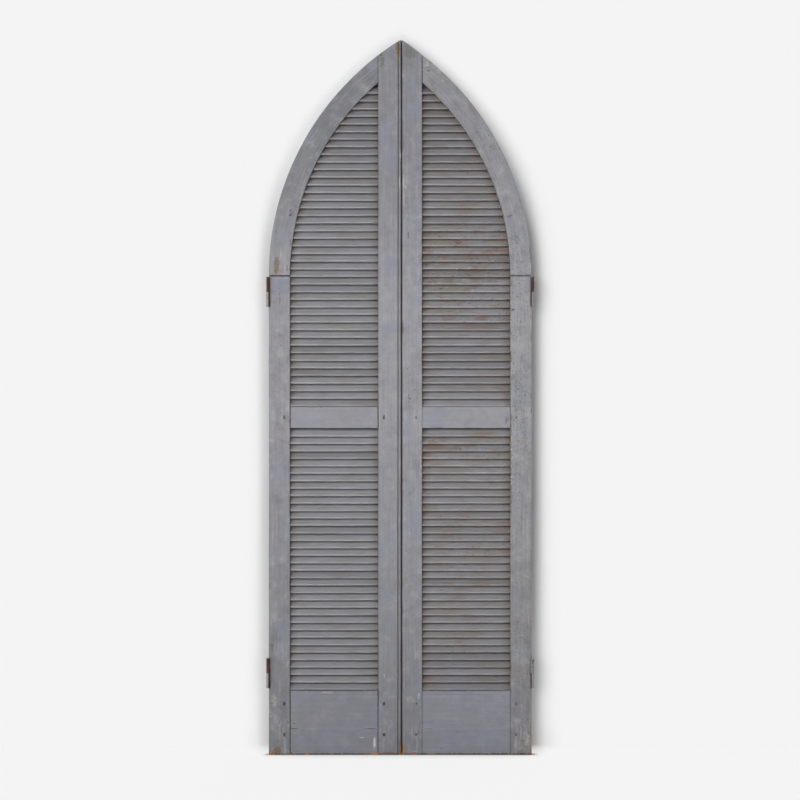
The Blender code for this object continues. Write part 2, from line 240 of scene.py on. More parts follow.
class SurfaceGraph(Graph):
    """Graph of one material, with the places on a piece that its patterns follow."""

    BUMP_STRENGTH = 0.7
    SPECULAR = 0.35

    def __init__(self, name: str) -> None:
        """Start a material with a Principled shader and read the object's coordinates.

        Args:
            name: Name of the material.
        """
        self.material = bpy.data.materials.new(name)
        self.material.use_nodes = True
        super().__init__(self.material.node_tree)
        self.shader = self.tree.nodes["Principled BSDF"]
        self.place = self.add("ShaderNodeTexCoord", output="Object")
        self.x, self.y, self.z = self.parts(self.place)

    def attribute(self, name: str, output: str = "Vector") -> Value:
        """A value that the mesh carries at its points."""
        return self.add("ShaderNodeAttribute", {"attribute_name": name}, output=output)

    def finish(
        self, colour: Value, roughness: Value, height: Value, depth: float, metallic: Value | float = 0.0
    ) -> bpy.types.Material:
        """Link the finished patterns to the shader.

        Args:
            colour: Base colour.
            roughness: Roughness.
            height: Relief, where 1 stands depth above 0.
            depth: Depth of the relief in metres.
            metallic: Share of bare metal.

        Returns:
            The material.
        """
        relief = {"Distance": depth, "Strength": self.BUMP_STRENGTH, "Height": height}
        bump = self.add("ShaderNodeBump", inputs=relief)
        links = {"Base Color": colour, "Roughness": roughness, "Normal": bump, "Metallic": metallic}
        for name, given in links.items():
            if isinstance(given, Value):
                self.tree.links.new(given.socket, self.shader.inputs[name])
            else:
                self.shader.inputs[name].default_value = given
        self.shader.inputs["Specular IOR Level"].default_value = self.SPECULAR
        return self.material


class GeometryGraph(Graph):
    """Geometry tree with named inputs, which makes a piece from the points that it is given."""

    SOCKETS = {float: "NodeSocketFloat", int: "NodeSocketInt", bpy.types.Material: "NodeSocketMaterial"}

    def __init__(self, name: str, inputs: dict[str, Any]) -> None:
        """Start a tree.

        Args:
            name: Name of the tree.
            inputs: Its inputs by name, with the values that they get on the piece.
        """
        tree = bpy.data.node_groups.new(name, "GeometryNodeTree")
        super().__init__(tree)
        tree.interface.new_socket("Places", in_out="INPUT", socket_type="NodeSocketGeometry")
        self.values = {}
        for title, given in inputs.items():
            socket = tree.interface.new_socket(title, in_out="INPUT", socket_type=self.SOCKETS[type(given)])
            self.values[socket.identifier] = given
        tree.interface.new_socket("Piece", in_out="OUTPUT", socket_type="NodeSocketGeometry")
        self.start = self.add("NodeGroupInput")

    def given(self, name: str) -> Value:
        """One of the tree's inputs."""
        return self.start.also(name)

    def position(self) -> tuple[Value, Value, Value]:
        """Place of each point, as three numbers."""
        return self.parts(self.add("GeometryNodeInputPosition"))

    def chance(self, reach: Value | float, offset: int) -> Value:
        """Seeded random number for each point.

        Args:
            reach: How far it goes to either side of 0.
            offset: Added to the tree's seed, so that each use draws its own numbers.

        Returns:
            The number, from -reach to reach.
        """
        inputs = {2: reach * -1.0, 3: reach, "Seed": self.given("Seed") + offset}
        return self.add("FunctionNodeRandomValue", {"data_type": "FLOAT"}, inputs, 1)

    def keep(self, geometry: Value, name: str, value: Value, kind: str, domain: str) -> Value:
        """Store a value on the geometry under a name that the material reads.

        Args:
            geometry: The geometry.
            name: Name of the value.
            value: The value.
            kind: Its data type.
            domain: What carries it, such as each point or each instance.

        Returns:
            The geometry with the value on it.
        """
        settings = {"data_type": kind, "domain": domain}
        inputs = {"Geometry": geometry, "Name": name, "Value": value}
        return self.add("GeometryNodeStoreNamedAttribute", settings, inputs)

    def move(self, geometry: Value, **places: Value) -> Value:
        """Set or offset the points of a geometry."""
        return self.add("GeometryNodeSetPosition", inputs={"Geometry": geometry, **places})

    def grow(self, name: str, geometry: Value, places: list[Point]) -> bpy.types.Object:
        """Close the tree, run it on a set of points and keep the result as a plain mesh.

        Args:
            name: Name of the piece.
            geometry: Instances that the tree makes, already realized.
            places: Points that the tree starts from.

        Returns:
            The finished piece.
        """
        dressed = self.add(
            "GeometryNodeSetMaterial", inputs={"Geometry": geometry, "Material": self.given("Finish")}
        )
        self.add("NodeGroupOutput", inputs={"Piece": dressed})
        points = bpy.data.meshes.new(name + "_places")
        points.from_pydata(places, [], [])
        holder = bpy.data.objects.new(name + "_places", points)
        bpy.context.scene.collection.objects.link(holder)
        modifier = holder.modifiers.new(self.tree.name, "NODES")
        modifier.node_group = self.tree
        for identifier, given in self.values.items():
            modifier[identifier] = given
        depsgraph = bpy.context.evaluated_depsgraph_get()
        mesh = bpy.data.meshes.new_from_object(
            holder.evaluated_get(depsgraph), preserve_all_data_layers=True, depsgraph=depsgraph
        )
        bpy.data.objects.remove(holder)
        return stand(name, mesh)


def stand(name: str, mesh: bpy.types.Mesh) -> bpy.types.Object:
    """Put a mesh in the scene at the origin.

    Args:
        name: Name of the piece.
        mesh: Its mesh, already in place.

    Returns:
        The piece.
    """
    mesh.name = name
    piece = bpy.data.objects.new(name, mesh)
    bpy.context.scene.collection.objects.link(piece)
    return piece


def hand_over(piece: bpy.types.Object, body: str, slot: str, *nodes: str) -> None:
    """Let a finished piece ride on its body and stand for its solids.

    Args:
        piece: The piece.
        body: Body that carries it.
        slot: Not used.
        *nodes: Solids that it stands for.
    """
    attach(piece, body)
    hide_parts(*nodes)
    LOG.info("%s: %d faces", piece.name, len(piece.data.polygons))


class Side(Enum):
    """The two doors, with the sign of x on their side of the arch."""

    LEFT = -1
    RIGHT = 1

    @property
    def prefix(self) -> str:
        """First word of the names of this door's pieces."""
        return self.name.lower()

    @property
    def body(self) -> str:
        """Body that carries this door's pieces."""
        return f"{self.prefix}_door"


@dataclass(frozen=True)
class PairSizes:
    """Sizes that both doors share, the same as those of the solids."""

    half_width: float = 0.442
    spring: float = 1.611
    rise: float = 0.794
    front: float = -0.01175
    thickness: float = 0.035
    hinge_stile: float = 0.071
    opening_inner: float = 0.0735
    bottom_rail: float = 0.217
    mid_rail_base: float = 1.099
    mid_rail_top: float = 1.171

    @property
    def back(self) -> float:
        """Back face of the doors."""
        return self.front + self.thickness

    @property
    def middle(self) -> float:
        """Middle of the thickness."""
        return self.front + self.thickness / 2

    @property
    def opening_outer(self) -> float:
        """Inner edge of the hinge stiles along u."""
        return self.half_width - self.hinge_stile

    @property
    def arch_centre(self) -> float:
        """How far past the centre line each arch curve is struck from."""
        return (self.rise**2 - self.half_width**2) / (2 * self.half_width)

    @property
    def arch_radius(self) -> float:
        """Radius of the outer arch curve."""
        return self.half_width + self.arch_centre

    @property
    def inner_radius(self) -> float:
        """Radius of the inner arch curve."""
        return self.arch_radius - self.hinge_stile

    def arch_height(self, radius: float, u: float) -> float:
        """Height of an arch curve over a place along u."""
        return self.spring + math.sqrt(radius**2 - (abs(u) + self.arch_centre) ** 2)

    def arch_line(self, radius: float, end: float, steps: int) -> Line:
        """Points (u, z) of an arch curve.

        Args:
            radius: Radius of the curve.
            end: Place along u where it stops.
            steps: How many chords it has.

        Returns:
            The points, from the spring line up.
        """
        reach = math.acos((end + self.arch_centre) / radius)
        turns = [reach * step / steps for step in range(steps + 1)]
        centre = self.arch_centre
        return [(radius * math.cos(turn) - centre, self.spring + radius * math.sin(turn)) for turn in turns]


SIZES = PairSizes()


def arch_reach(x: Value, z: Value) -> Value:
    """Distance from the point that the arch curve on that side is struck from.

    Args:
        x: Place across the doors.
        z: Height. Below the spring line the distance is measured level, as the stiles stand upright there.

    Returns:
        The distance, which is SIZES.arch_radius along the outline of the doors.
    """
    out = abs(x) + SIZES.arch_centre
    above = (z - SIZES.spring).most(0.0)
    return (out * out + above * above).root()


@dataclass(frozen=True)
class HingeSizes:
    """Sizes of the lift-off hinges, the same as those of the solids."""

    height: float = 0.100
    depth: float = 0.027
    thickness: float = 0.003
    fit: float = 0.0003
    screw_head: float = 0.0042
    screw_shank: float = 0.002
    screw_length: float = 0.030
    screw_spacing: float = 0.036
    screw_stagger: float = 0.005
    below_spring: float = 0.054
    above_bottom_rail: float = 0.058

    @property
    def levels(self) -> dict[str, float]:
        """Heights of the middles of a door's two hinges."""
        return {
            "upper": SIZES.spring - self.below_spring,
            "lower": SIZES.bottom_rail + self.above_bottom_rail,
        }

    def screws(self, height: float) -> Line:
        """Places of the three screws of a leaf.

        Args:
            height: Height of the leaf's middle.

        Returns:
            The places (y, z), from the lowest screw up.
        """
        middle = SIZES.front + self.depth / 2
        half = self.screw_stagger / 2
        rows = ((-1, half), (0, -half), (1, half))
        return [(middle + stagger, height + row * self.screw_spacing) for row, stagger in rows]


HINGE = HingeSizes()


class MarkKind(Enum):
    """What a mark on the paint shows."""

    BARE_WOOD = "bare_wood"
    BROWN_STAIN = "brown_stain"
    PALE_SCUFF = "pale_scuff"
    DARK_CRACK = "dark_crack"
    GREEN_GRIME = "green_grime"


# Short names for the lists of marks
BARE_WOOD, BROWN_STAIN, PALE_SCUFF, DARK_CRACK, GREEN_GRIME = MarkKind


@dataclass(frozen=True)
class Mark:
    """One mark on the front of a door, of wear or painted shade: where it is, how far it reaches and what it
    shows.

    A mark with little cover breaks up into flecks.
    """

    kind: MarkKind
    x: float
    z: float
    half_width: float
    half_height: float
    strength: float = 1.0
    cover: float = 1.0


PALE_PAINT = shade(182, 181, 184)
DIM_PAINT = shade(108, 107, 112)
BLUE_PAINT = shade(136, 141, 158)
GREEN_PAINT = shade(140, 142, 138)
SEAM_DIRT_AND_SHADE = shade(40, 38, 40)
SPECK = shade(58, 56, 64)
WOOD_DARK = shade(104, 74, 48)
WOOD_LIGHT = shade(184, 146, 100)
WOOD_GREY = shade(126, 112, 100)
FOOT_WOOD_DARK = shade(74, 60, 50)
FOOT_WOOD_LIGHT = shade(150, 106, 66)
FLAKED_PAINT = shade(206, 192, 170)
SLAT_DIRT_AND_SHADE = shade(118, 101, 85)
FRESH_RUST = shade(150, 92, 60)
PEG_DARK = shade(48, 42, 40)
PEG_LIGHT = shade(84, 74, 70)
PEG_PAINT = shade(122, 122, 128)
MARK_COLOURS = {
    BROWN_STAIN: shade(116, 94, 80),
    PALE_SCUFF: shade(216, 216, 210),
    DARK_CRACK: shade(52, 50, 52),
    GREEN_GRIME: shade(92, 97, 84),
}


@dataclass(frozen=True)
class BoardPaint:
    """Old grey paint on a frame member, worn back to the wood along parts of the arrises."""

    name: str
    tone: Colour
    high: Colour
    # Colour at the foot, darker than tone: painted shade for the light falling off down the door
    low: Colour
    worn_share: float
    speck_share: float
    seam_dirt: float
    unevenness: float
    marks: tuple[Mark, ...] = ()
    relief: float = 0.0007

    def dress(self) -> bpy.types.Material:
        """Build the material.

        Returns:
            The material, which reads the board and board_size attributes of a board's mesh.
        """
        graph = SurfaceGraph(self.name)
        across, deep, along = graph.parts(graph.attribute("board"))
        size = graph.parts(graph.attribute("board_size"))
        grain = graph.vector(across, deep, along * 0.08)
        streak = graph.noise(grain, scale=95, detail=5, roughness=0.55)
        mottle = graph.noise(graph.place, scale=30, detail=5, roughness=0.6)
        fine = graph.noise(graph.place, scale=430, detail=3)
        colour = self._paint(graph, streak, mottle, fine)

        specks = self._specks(graph, across, deep, along)
        colour = graph.mix(specks * 0.8, colour, SPECK)
        gaps = [place.least(whole - place) for place, whole in zip((across, deep, along), size)]
        arris = gaps[0].least(gaps[1]).most(gaps[0].most(gaps[1]).least(gaps[2]))
        ragged = graph.noise(graph.place, scale=210, detail=5, roughness=0.6)
        least_worn = 0.66 - self.worn_share * 0.3
        patchy = graph.noise(graph.place, scale=13, detail=3).ramp(least_worn, least_worn + 0.08)
        worn = (arris + (ragged - 0.5) * 0.012).ramp(0.0034, 0.0012) * patchy
        timber = graph.noise(grain, scale=420, detail=4)
        grey_wood = graph.mix(timber.ramp(0.35, 0.65), WOOD_DARK, WOOD_GREY)
        colour = graph.mix(worn * 0.85, colour, grey_wood)
        colour = graph.mix(arris.ramp(0.0018, 0.0004) * 0.3, colour, DIM_PAINT)
        inside = SIZES.arch_radius - arch_reach(graph.x, graph.z)
        seam = (gaps[2] + (ragged - 0.5) * 0.005).ramp(0.0042, 0.0014) * inside.ramp(0.001, 0.007)
        colour = graph.mix(seam * self.seam_dirt, colour, SEAM_DIRT_AND_SHADE)
        foot = (graph.z + (ragged - 0.5) * 0.020).ramp(0.0075, 0.0025)
        foot_wood = graph.mix(mottle.ramp(0.5, 0.62), FOOT_WOOD_DARK, FOOT_WOOD_LIGHT)
        colour = graph.mix(foot * 0.85, colour, foot_wood)

        bare = worn
        fresh_wood = graph.mix(timber.ramp(0.36, 0.62), WOOD_DARK, WOOD_LIGHT)
        for mark in self.marks:
            found = self._mark(graph, mark, ragged) * mark.strength
            colour = graph.mix(found, colour, MARK_COLOURS.get(mark.kind, fresh_wood))
            if mark.kind is BARE_WOOD:
                bare = bare.most(found)
        roughness = 0.58 + (fine - 0.5) * 0.2 + bare * 0.2
        height = 0.5 + (streak - 0.5) * 0.6 + (fine - 0.5) * 0.3 - specks * 0.4 - bare * 0.35
        return graph.finish(colour, roughness, height, self.relief)

    def _paint(self, graph: SurfaceGraph, streak: Value, mottle: Value, fine: Value) -> Value:
        """Colour of the paint: its tone up the door with painted shade at the foot, brush streaks, blotches,
        tints.

        Args:
            graph: Graph of the material.
            streak: Noise drawn out along the grain.
            mottle: Noise in blotches.
            fine: Noise of single grains.

        Returns:
            The colour.
        """
        colour = graph.mix(graph.z.ramp(1.5, 2.05), self.tone, self.high)
        # Towards the foot the colour turns to low: painted shade where less light reaches
        colour = graph.mix(graph.z.ramp(1.3, -0.1), colour, self.low)
        uneven = 0.28 * self.unevenness
        colour = graph.mix(streak.ramp(0.5, 0.75) * uneven, colour, PALE_PAINT)
        colour = graph.mix(streak.ramp(0.5, 0.26) * uneven, colour, DIM_PAINT)
        colour = graph.mix(mottle.ramp(0.5, 0.74) * uneven, colour, PALE_PAINT)
        colour = graph.mix(mottle.ramp(0.5, 0.28) * uneven, colour, DIM_PAINT)
        tint = graph.noise(graph.place, scale=11.0, detail=4)
        colour = graph.mix(tint.ramp(0.5, 0.68) * 0.45, colour, BLUE_PAINT)
        colour = graph.mix(tint.ramp(0.47, 0.33) * 0.35, colour, GREEN_PAINT)
        return graph.mix(fine.ramp(0.56, 0.76) * 0.26, colour, SPECK)

    def _specks(self, graph: SurfaceGraph, across: Value, deep: Value, along: Value) -> Value:
        """Share of dark pits and fine cracks along the grain, in loose clusters.

        Args:
            graph: Graph of the material.
            across: Place across the board.
            deep: Place through the board.
            along: Place along the board.

        Returns:
            The share.
        """
        pits = graph.noise(graph.vector(across, deep, along * 0.5), scale=230, detail=3, roughness=0.6)
        cracks = graph.noise(graph.vector(across, deep, along * 0.03), scale=260, detail=2)
        cluster = 0.15 + graph.noise(graph.place, scale=7.0, detail=2).ramp(0.44, 0.62) * 0.85
        deepest = 0.75 - self.speck_share * 0.18
        pitted = pits.ramp(deepest - 0.06, deepest)
        return pitted.most(cracks.ramp(deepest, deepest + 0.05) * 0.7) * cluster

    def _mark(self, graph: SurfaceGraph, mark: Mark, ragged: Value) -> Value:
        """Share of one mark, with a ragged edge, on the front of the board alone.

        Args:
            graph: Graph of the material.
            mark: The mark.
            ragged: Noise that breaks up its edge.

        Returns:
            The share.
        """
        across = (graph.x - mark.x) / mark.half_width
        up = (graph.z - mark.z) / mark.half_height
        away = across * across + up * up + (ragged - 0.5) * 3.4 + (1.0 - mark.cover) * 1.1
        return away.ramp(1.15, 0.6) * graph.y.ramp(SIZES.front + 0.016, SIZES.front + 0.009)


@dataclass(frozen=True)
class LouverPaint:
    """Thin weathered paint on the slats, stained in places, dirty and in painted shade towards their ends."""

    name: str
    tone: Colour
    warm: Colour
    stain: Colour
    stain_share: float
    end_dirt: float
    stain_bands: tuple[tuple[float, float], ...] = ()
    relief: float = 0.0005

    def dress(self) -> bpy.types.Material:
        """Build the material.

        Returns:
            The material, which reads the board and slat attributes of the slats' mesh.
        """
        graph = SurfaceGraph(self.name)
        across, deep, _ = graph.parts(graph.attribute("board"))
        slat = graph.attribute("slat", "Fac")
        grain = graph.vector(graph.x * 0.07, across + slat * 3.0, deep + slat * 5.0)
        streak = graph.noise(grain, scale=300, detail=5, roughness=0.6)
        patch = graph.noise(graph.vector(graph.x * 0.6, slat * 9.0, across), scale=14, detail=3)
        fine = graph.noise(graph.place, scale=600, detail=3)
        colour = graph.mix(patch.ramp(0.38, 0.7), self.tone, self.warm)
        colour = graph.mix(streak.ramp(0.5, 0.74) * 0.35, colour, PALE_PAINT)
        colour = graph.mix(streak.ramp(0.48, 0.26) * 0.4, colour, DIM_PAINT)
        colour = graph.mix(slat.ramp(-0.2, -1.0) * 0.3, colour, DIM_PAINT)
        chipped = graph.noise(graph.vector(graph.x * 0.45, slat * 17.0, across), scale=170, detail=4)
        blotch = graph.noise(graph.place, scale=3.6, detail=2).ramp(0.46, 0.62) * 0.7
        for low, high in self.stain_bands:
            band = graph.z.ramp(low - 0.04, low + 0.03) * graph.z.ramp(high + 0.04, high - 0.03)
            blotch = blotch.most(band)
        chips = chipped.ramp(0.62, 0.7) * (0.12 + blotch) * self.stain_share
        stained = graph.noise(graph.vector(graph.x * 0.5, slat * 31.0, across * 0.8), scale=26, detail=4)
        stains = stained.ramp(0.5, 0.66) * blotch * self.stain_share
        # Darker towards the foot as painted shade of the light falling off down the door, and also darker
        # towards the top
        darker_by_height = graph.z.ramp(1.2, 0.15) * 0.22 + graph.z.ramp(1.7, 2.25) * 0.32
        colour = graph.mix(darker_by_height, colour, DIM_PAINT)
        colour = graph.mix(stains * 0.7, colour, self.stain)
        colour = graph.mix(chips, colour, WOOD_DARK)
        flaked = chipped.ramp(0.34, 0.28) * blotch * self.stain_share
        colour = graph.mix(flaked, colour, FLAKED_PAINT)
        # The upper part of each slat's face is dimmed: painted shade under the slat above
        colour = graph.mix(across.ramp(0.016, 0.034) * 0.4, colour, DIM_PAINT)
        # A pale line along each slat's nose, broken by the streaks: painted highlight
        colour = graph.mix(across.ramp(0.007, 0.001) * streak.ramp(0.38, 0.62) * 0.3, colour, PALE_PAINT)
        # Towards the slats' ends: brown dirt, with painted shade where they run into the stiles and the arch
        to_stile = abs(graph.x) - SIZES.opening_inner
        end = to_stile.least(SIZES.inner_radius - arch_reach(graph.x, graph.z))
        dirty_shaded_ends = end.ramp(0.034, 0.0) * (0.55 + patch * 0.7) * self.end_dirt
        colour = graph.mix(dirty_shaded_ends, colour, SLAT_DIRT_AND_SHADE)
        # A dark line at the very ends of the slats: painted shade of the gap where they enter the stiles and
        # the arch
        colour = graph.mix(end.ramp(0.004, 0.001) * 0.25, colour, SEAM_DIRT_AND_SHADE)
        roughness = 0.62 + (fine - 0.5) * 0.2 + stains * 0.15
        height = 0.5 + (streak - 0.5) * 0.7 + (fine - 0.5) * 0.25 - chips * 0.4
        return graph.finish(colour, roughness, height, self.relief)


@dataclass(frozen=True)
class RustyIron:
    """Old iron with rust and the last of its paint, which is rubbed off on the side towards the doors."""

    name: str
    dark: Colour
    rust: Colour
    paint: Colour
    paint_share: float
    bare_share: float
    rubbed_within: float = 0.0
    relief: float = 0.0005

    def dress(self) -> bpy.types.Material:
        """Build the material.

        Returns:
            The material.
        """
        graph = SurfaceGraph(self.name)
        scale = graph.noise(graph.place, scale=260, detail=5)
        pits = graph.noise(graph.place, scale=900, detail=3)
        flakes = graph.noise(graph.place, scale=120, detail=4)
        colour = graph.mix(scale.ramp(0.36, 0.64), self.dark, self.rust)
        colour = graph.mix(pits.ramp(0.55, 0.72) * 0.5, colour, FRESH_RUST)
        least = 0.66 - self.paint_share * 0.3
        rubbed = abs(graph.x).ramp(self.rubbed_within + 0.001, self.rubbed_within)
        left = flakes.ramp(least, least + 0.06) * (1.0 - rubbed)
        colour = graph.mix(left, colour, self.paint)
        metallic = scale.ramp(0.6, 0.4) * self.bare_share
        roughness = 0.82 - metallic * 0.35 - left * 0.15
        height = 0.5 + (scale - 0.5) * 0.6 + (pits - 0.5) * 0.4 + left * 0.3
        return graph.finish(colour, roughness, height, self.relief, metallic)


@dataclass(frozen=True)
class PegWood:
    """End grain of a dark peg with worn paint over it, thickest on the pegs of the mid rail."""

    name: str
    paint_share: float
    relief: float = 0.0006

    def dress(self) -> bpy.types.Material:
        """Build the material.

        Returns:
            The material.
        """
        graph = SurfaceGraph(self.name)
        grain = graph.noise(graph.place, scale=900, detail=4)
        patch = graph.noise(graph.place, scale=240, detail=3)
        colour = graph.mix(grain.ramp(0.35, 0.65), PEG_DARK, PEG_LIGHT)
        covered = patch + self.paint_share * 0.3 + graph.z.ramp(0.9, 1.1) * 0.1
        colour = graph.mix(covered.ramp(0.6, 0.72) * 0.75, colour, PEG_PAINT)
        return graph.finish(colour, 0.75 + (grain - 0.5) * 0.2, grain, self.relief)


@dataclass(frozen=True)
class Wander:
    """Slow seeded unevenness along a hand-planed edge, a sum of waves with a pitch and a share each."""

    seed: int
    reach: float
    waves: tuple[tuple[float, float], ...] = ((0.83, 1.0), (0.31, 0.6), (0.13, 0.35), (0.057, 0.2))

    def at(self, along: float) -> float:
        """Offset at a distance along the edge."""
        dice = random.Random(self.seed)
        return self.reach * sum(
            share * math.sin(2 * math.pi * (along / pitch + dice.random())) for pitch, share in self.waves
        )


@dataclass(frozen=True)
class Bead:
    """Round bead with a quirk beside it, run along the outer edge of a board's front."""

    width: float = 0.010
    quirk: float = 0.003
    drop: float = 0.0005
    steps: int = 10

    def outline(self, width: float, front: float) -> Line:
        """Points (across, y) of the quirk and bead on a board of a width.

        Args:
            width: Width of the board.
            front: Front face of the board.

        Returns:
            The points, from the quirk to the edge of the board.
        """
        radius = self.width / 2
        depth = front + self.drop + radius
        start = width - self.width - self.quirk
        points = [(start, front), (start, depth), (start + self.quirk, depth)]
        turns = [math.pi * (1 + step / self.steps) for step in range(1, self.steps + 1)]
        centre = width - radius
        points += [(centre + radius * math.cos(turn), depth + radius * math.sin(turn)) for turn in turns]
        return points


@dataclass
class Board:
    """One frame member: a board between two edge lines, with eased arrises and slightly uneven edges.

    The lines are matching runs of (x, z) points from the board's foot to its head. A crown gives the height
    of a curved head at a place along x. Recesses for hinge leaves are spans along the outer edge.
    """

    name: str
    inner: Line
    outer: Line
    seed: int
    arris: float = 0.0014
    foot_ease: float = 0.0014
    head_ease: float = 0.0014
    wander: float = 0.00025
    bead: Bead | None = None
    crown: Callable[[float], float] | None = None
    recesses: tuple[tuple[float, float], ...] = ()
    arris_steps: int = 3
    spans: int = 6
    spacing: float = 0.03

    def build(self, finish: bpy.types.Material) -> bpy.types.Object:
        """Loft the board's section along it.

        Args:
            finish: Its material.

        Returns:
            The piece, with its place on the board kept at each point for the material.
        """
        stations = self._stations()
        middles = np.array([(inner + outer) / 2 for inner, outer, _ in stations])
        steps = np.linalg.norm(np.diff(middles, axis=0), axis=1)
        along = np.concatenate([[0.0], np.cumsum(steps)])
        edges = (Wander(self.seed, self.wander), Wander(self.seed + 1, self.wander))
        face = Wander(self.seed + 2, self.wander)
        points, places, sizes = [], [], []
        for number, ((inner, outer, inset), run) in enumerate(zip(stations, along)):
            at_head = number >= len(stations) - self.arris_steps - 1
            sink = HINGE.thickness if any(low < run < high for low, high in self.recesses) else 0.0
            width = float(np.linalg.norm(outer - inner))
            outward = (outer - inner) / width
            low, high = inner + outward * edges[0].at(run), outer + outward * edges[1].at(run)
            for across, y in self._section(width, sink):
                shrunk = width / 2 + (across - width / 2) * (1 - 2 * inset / width)
                deep = SIZES.middle + (y - SIZES.middle) * (1 - 2 * inset / SIZES.thickness)
                at = low + (high - low) * (shrunk / width)
                lift = self._lift(at[0]) if at_head else 0.0
                points.append((at[0], deep + face.at(run), at[1] + lift))
                places.append((across, y - SIZES.front, run))
                sizes.append((width, SIZES.thickness, along[-1]))
        return self._mesh(points, places, sizes, len(stations), finish)

    def _lift(self, x: float) -> float:
        """How far a curved head stands above the straight line between the ends of its two edges.

        Args:
            x: Place along x.

        Returns:
            The height, which is 0 for a straight head.
        """
        if self.crown is None:
            return 0.0
        (near, near_top), (far, far_top) = self.inner[-1], self.outer[-1]
        return self.crown(x) - near_top - (far_top - near_top) * (x - near) / (far - near)

    def _stations(self) -> list[tuple[np.ndarray, np.ndarray, float]]:
        """Stations along the board, close together at its eased ends.

        Returns:
            The two edge points of each station, and how far the section is shrunk there.
        """
        rows = [(np.array(inner), np.array(outer)) for inner, outer in zip(self.inner, self.outer)]
        fine = []
        for (inner, outer), (next_inner, next_outer) in zip(rows, rows[1:]):
            reach = max(np.linalg.norm(next_inner - inner), np.linalg.norm(next_outer - outer))
            count = max(1, round(reach / self.spacing))
            fine += [
                (inner + (next_inner - inner) * k / count, outer + (next_outer - outer) * k / count)
                for k in range(count)
            ]
        fine.append(rows[-1])
        foot = self._eased(fine[0], fine[1], self.foot_ease)
        head = self._eased(fine[-1], fine[-2], self.head_ease)
        return [*foot, *((inner, outer, 0.0) for inner, outer in fine[1:-1]), *reversed(head)]

    def _eased(
        self, end: tuple[np.ndarray, np.ndarray], inside: tuple[np.ndarray, np.ndarray], ease: float
    ) -> list[tuple[np.ndarray, np.ndarray, float]]:
        """Stations that round over the arris at one end of the board.

        Args:
            end: Edge points of the end.
            inside: Edge points of the next station.
            ease: Radius of the arris.

        Returns:
            The stations, from the end inward.
        """
        made = []
        for step in range(self.arris_steps + 1):
            turn = math.pi / 2 * step / self.arris_steps
            back = ease * (1 - math.cos(turn))
            edges = [at + (to - at) / np.linalg.norm(to - at) * back for at, to in zip(end, inside)]
            made.append((edges[0], edges[1], ease * (1 - math.sin(turn))))
        return made

    def _section(self, width: float, sink: float) -> Line:
        """Points round the section, with four eased arrises.

        Args:
            width: Width of the board.
            sink: How deep the outer edge is let in for a hinge leaf.

        Returns:
            The points (across, y).
        """
        radius = self.arris
        far, near = SIZES.back - radius, SIZES.front + radius
        corners = [(radius, near), (width - sink - radius, near), (width - radius, far), (radius, far)]
        points = []
        for number, (across, y) in enumerate(corners):
            if number == 1 and self.bead:
                points += self.bead.outline(width, SIZES.front)
                continue
            for step in range(self.arris_steps + 1):
                turn = math.pi / 2 * (number + 2 + step / self.arris_steps)
                points.append((across + radius * math.cos(turn), y + radius * math.sin(turn)))
            if number == 1 and self.recesses:
                reach = SIZES.front + HINGE.depth
                points += [(width - sink, reach), (width, reach + HINGE.fit)]
            if number in (0, 2):
                start, end = across, corners[number + 1][0]
                face = points[-1][1]
                points += [(start + (end - start) * k / self.spans, face) for k in range(1, self.spans)]
        return points

    def _mesh(
        self,
        points: list[Point],
        places: list[Point],
        sizes: list[Point],
        count: int,
        finish: bpy.types.Material,
    ) -> bpy.types.Object:
        """Join the stations' points into a closed mesh that keeps each point's place on the board.

        Args:
            points: Points of all stations, one section after another.
            places: Place of each point across, through and along the board.
            sizes: Width, thickness and length of the board at each point.
            count: How many stations there are.
            finish: Material of the board.

        Returns:
            The piece.
        """
        ring = len(points) // count
        faces = [tuple(range(ring)), tuple(range(len(points) - ring, len(points)))]
        for row in range(count - 1):
            for spot in range(ring):
                after = (spot + 1) % ring
                here, there = row * ring, (row + 1) * ring
                faces.append((here + spot, here + after, there + after, there + spot))
        mesh = bpy.data.meshes.new(self.name)
        mesh.from_pydata(points, [], faces)
        shape = bmesh.new()
        shape.from_mesh(mesh)
        bmesh.ops.recalc_face_normals(shape, faces=shape.faces)
        shape.to_mesh(mesh)
        shape.free()
        for name, values in (("board", places), ("board_size", sizes)):
            kept = mesh.attributes.new(name, "FLOAT_VECTOR", "POINT")
            kept.data.foreach_set("vector", np.array(values, np.float32).ravel())
        mesh.materials.append(finish)
        return stand(self.name, mesh)


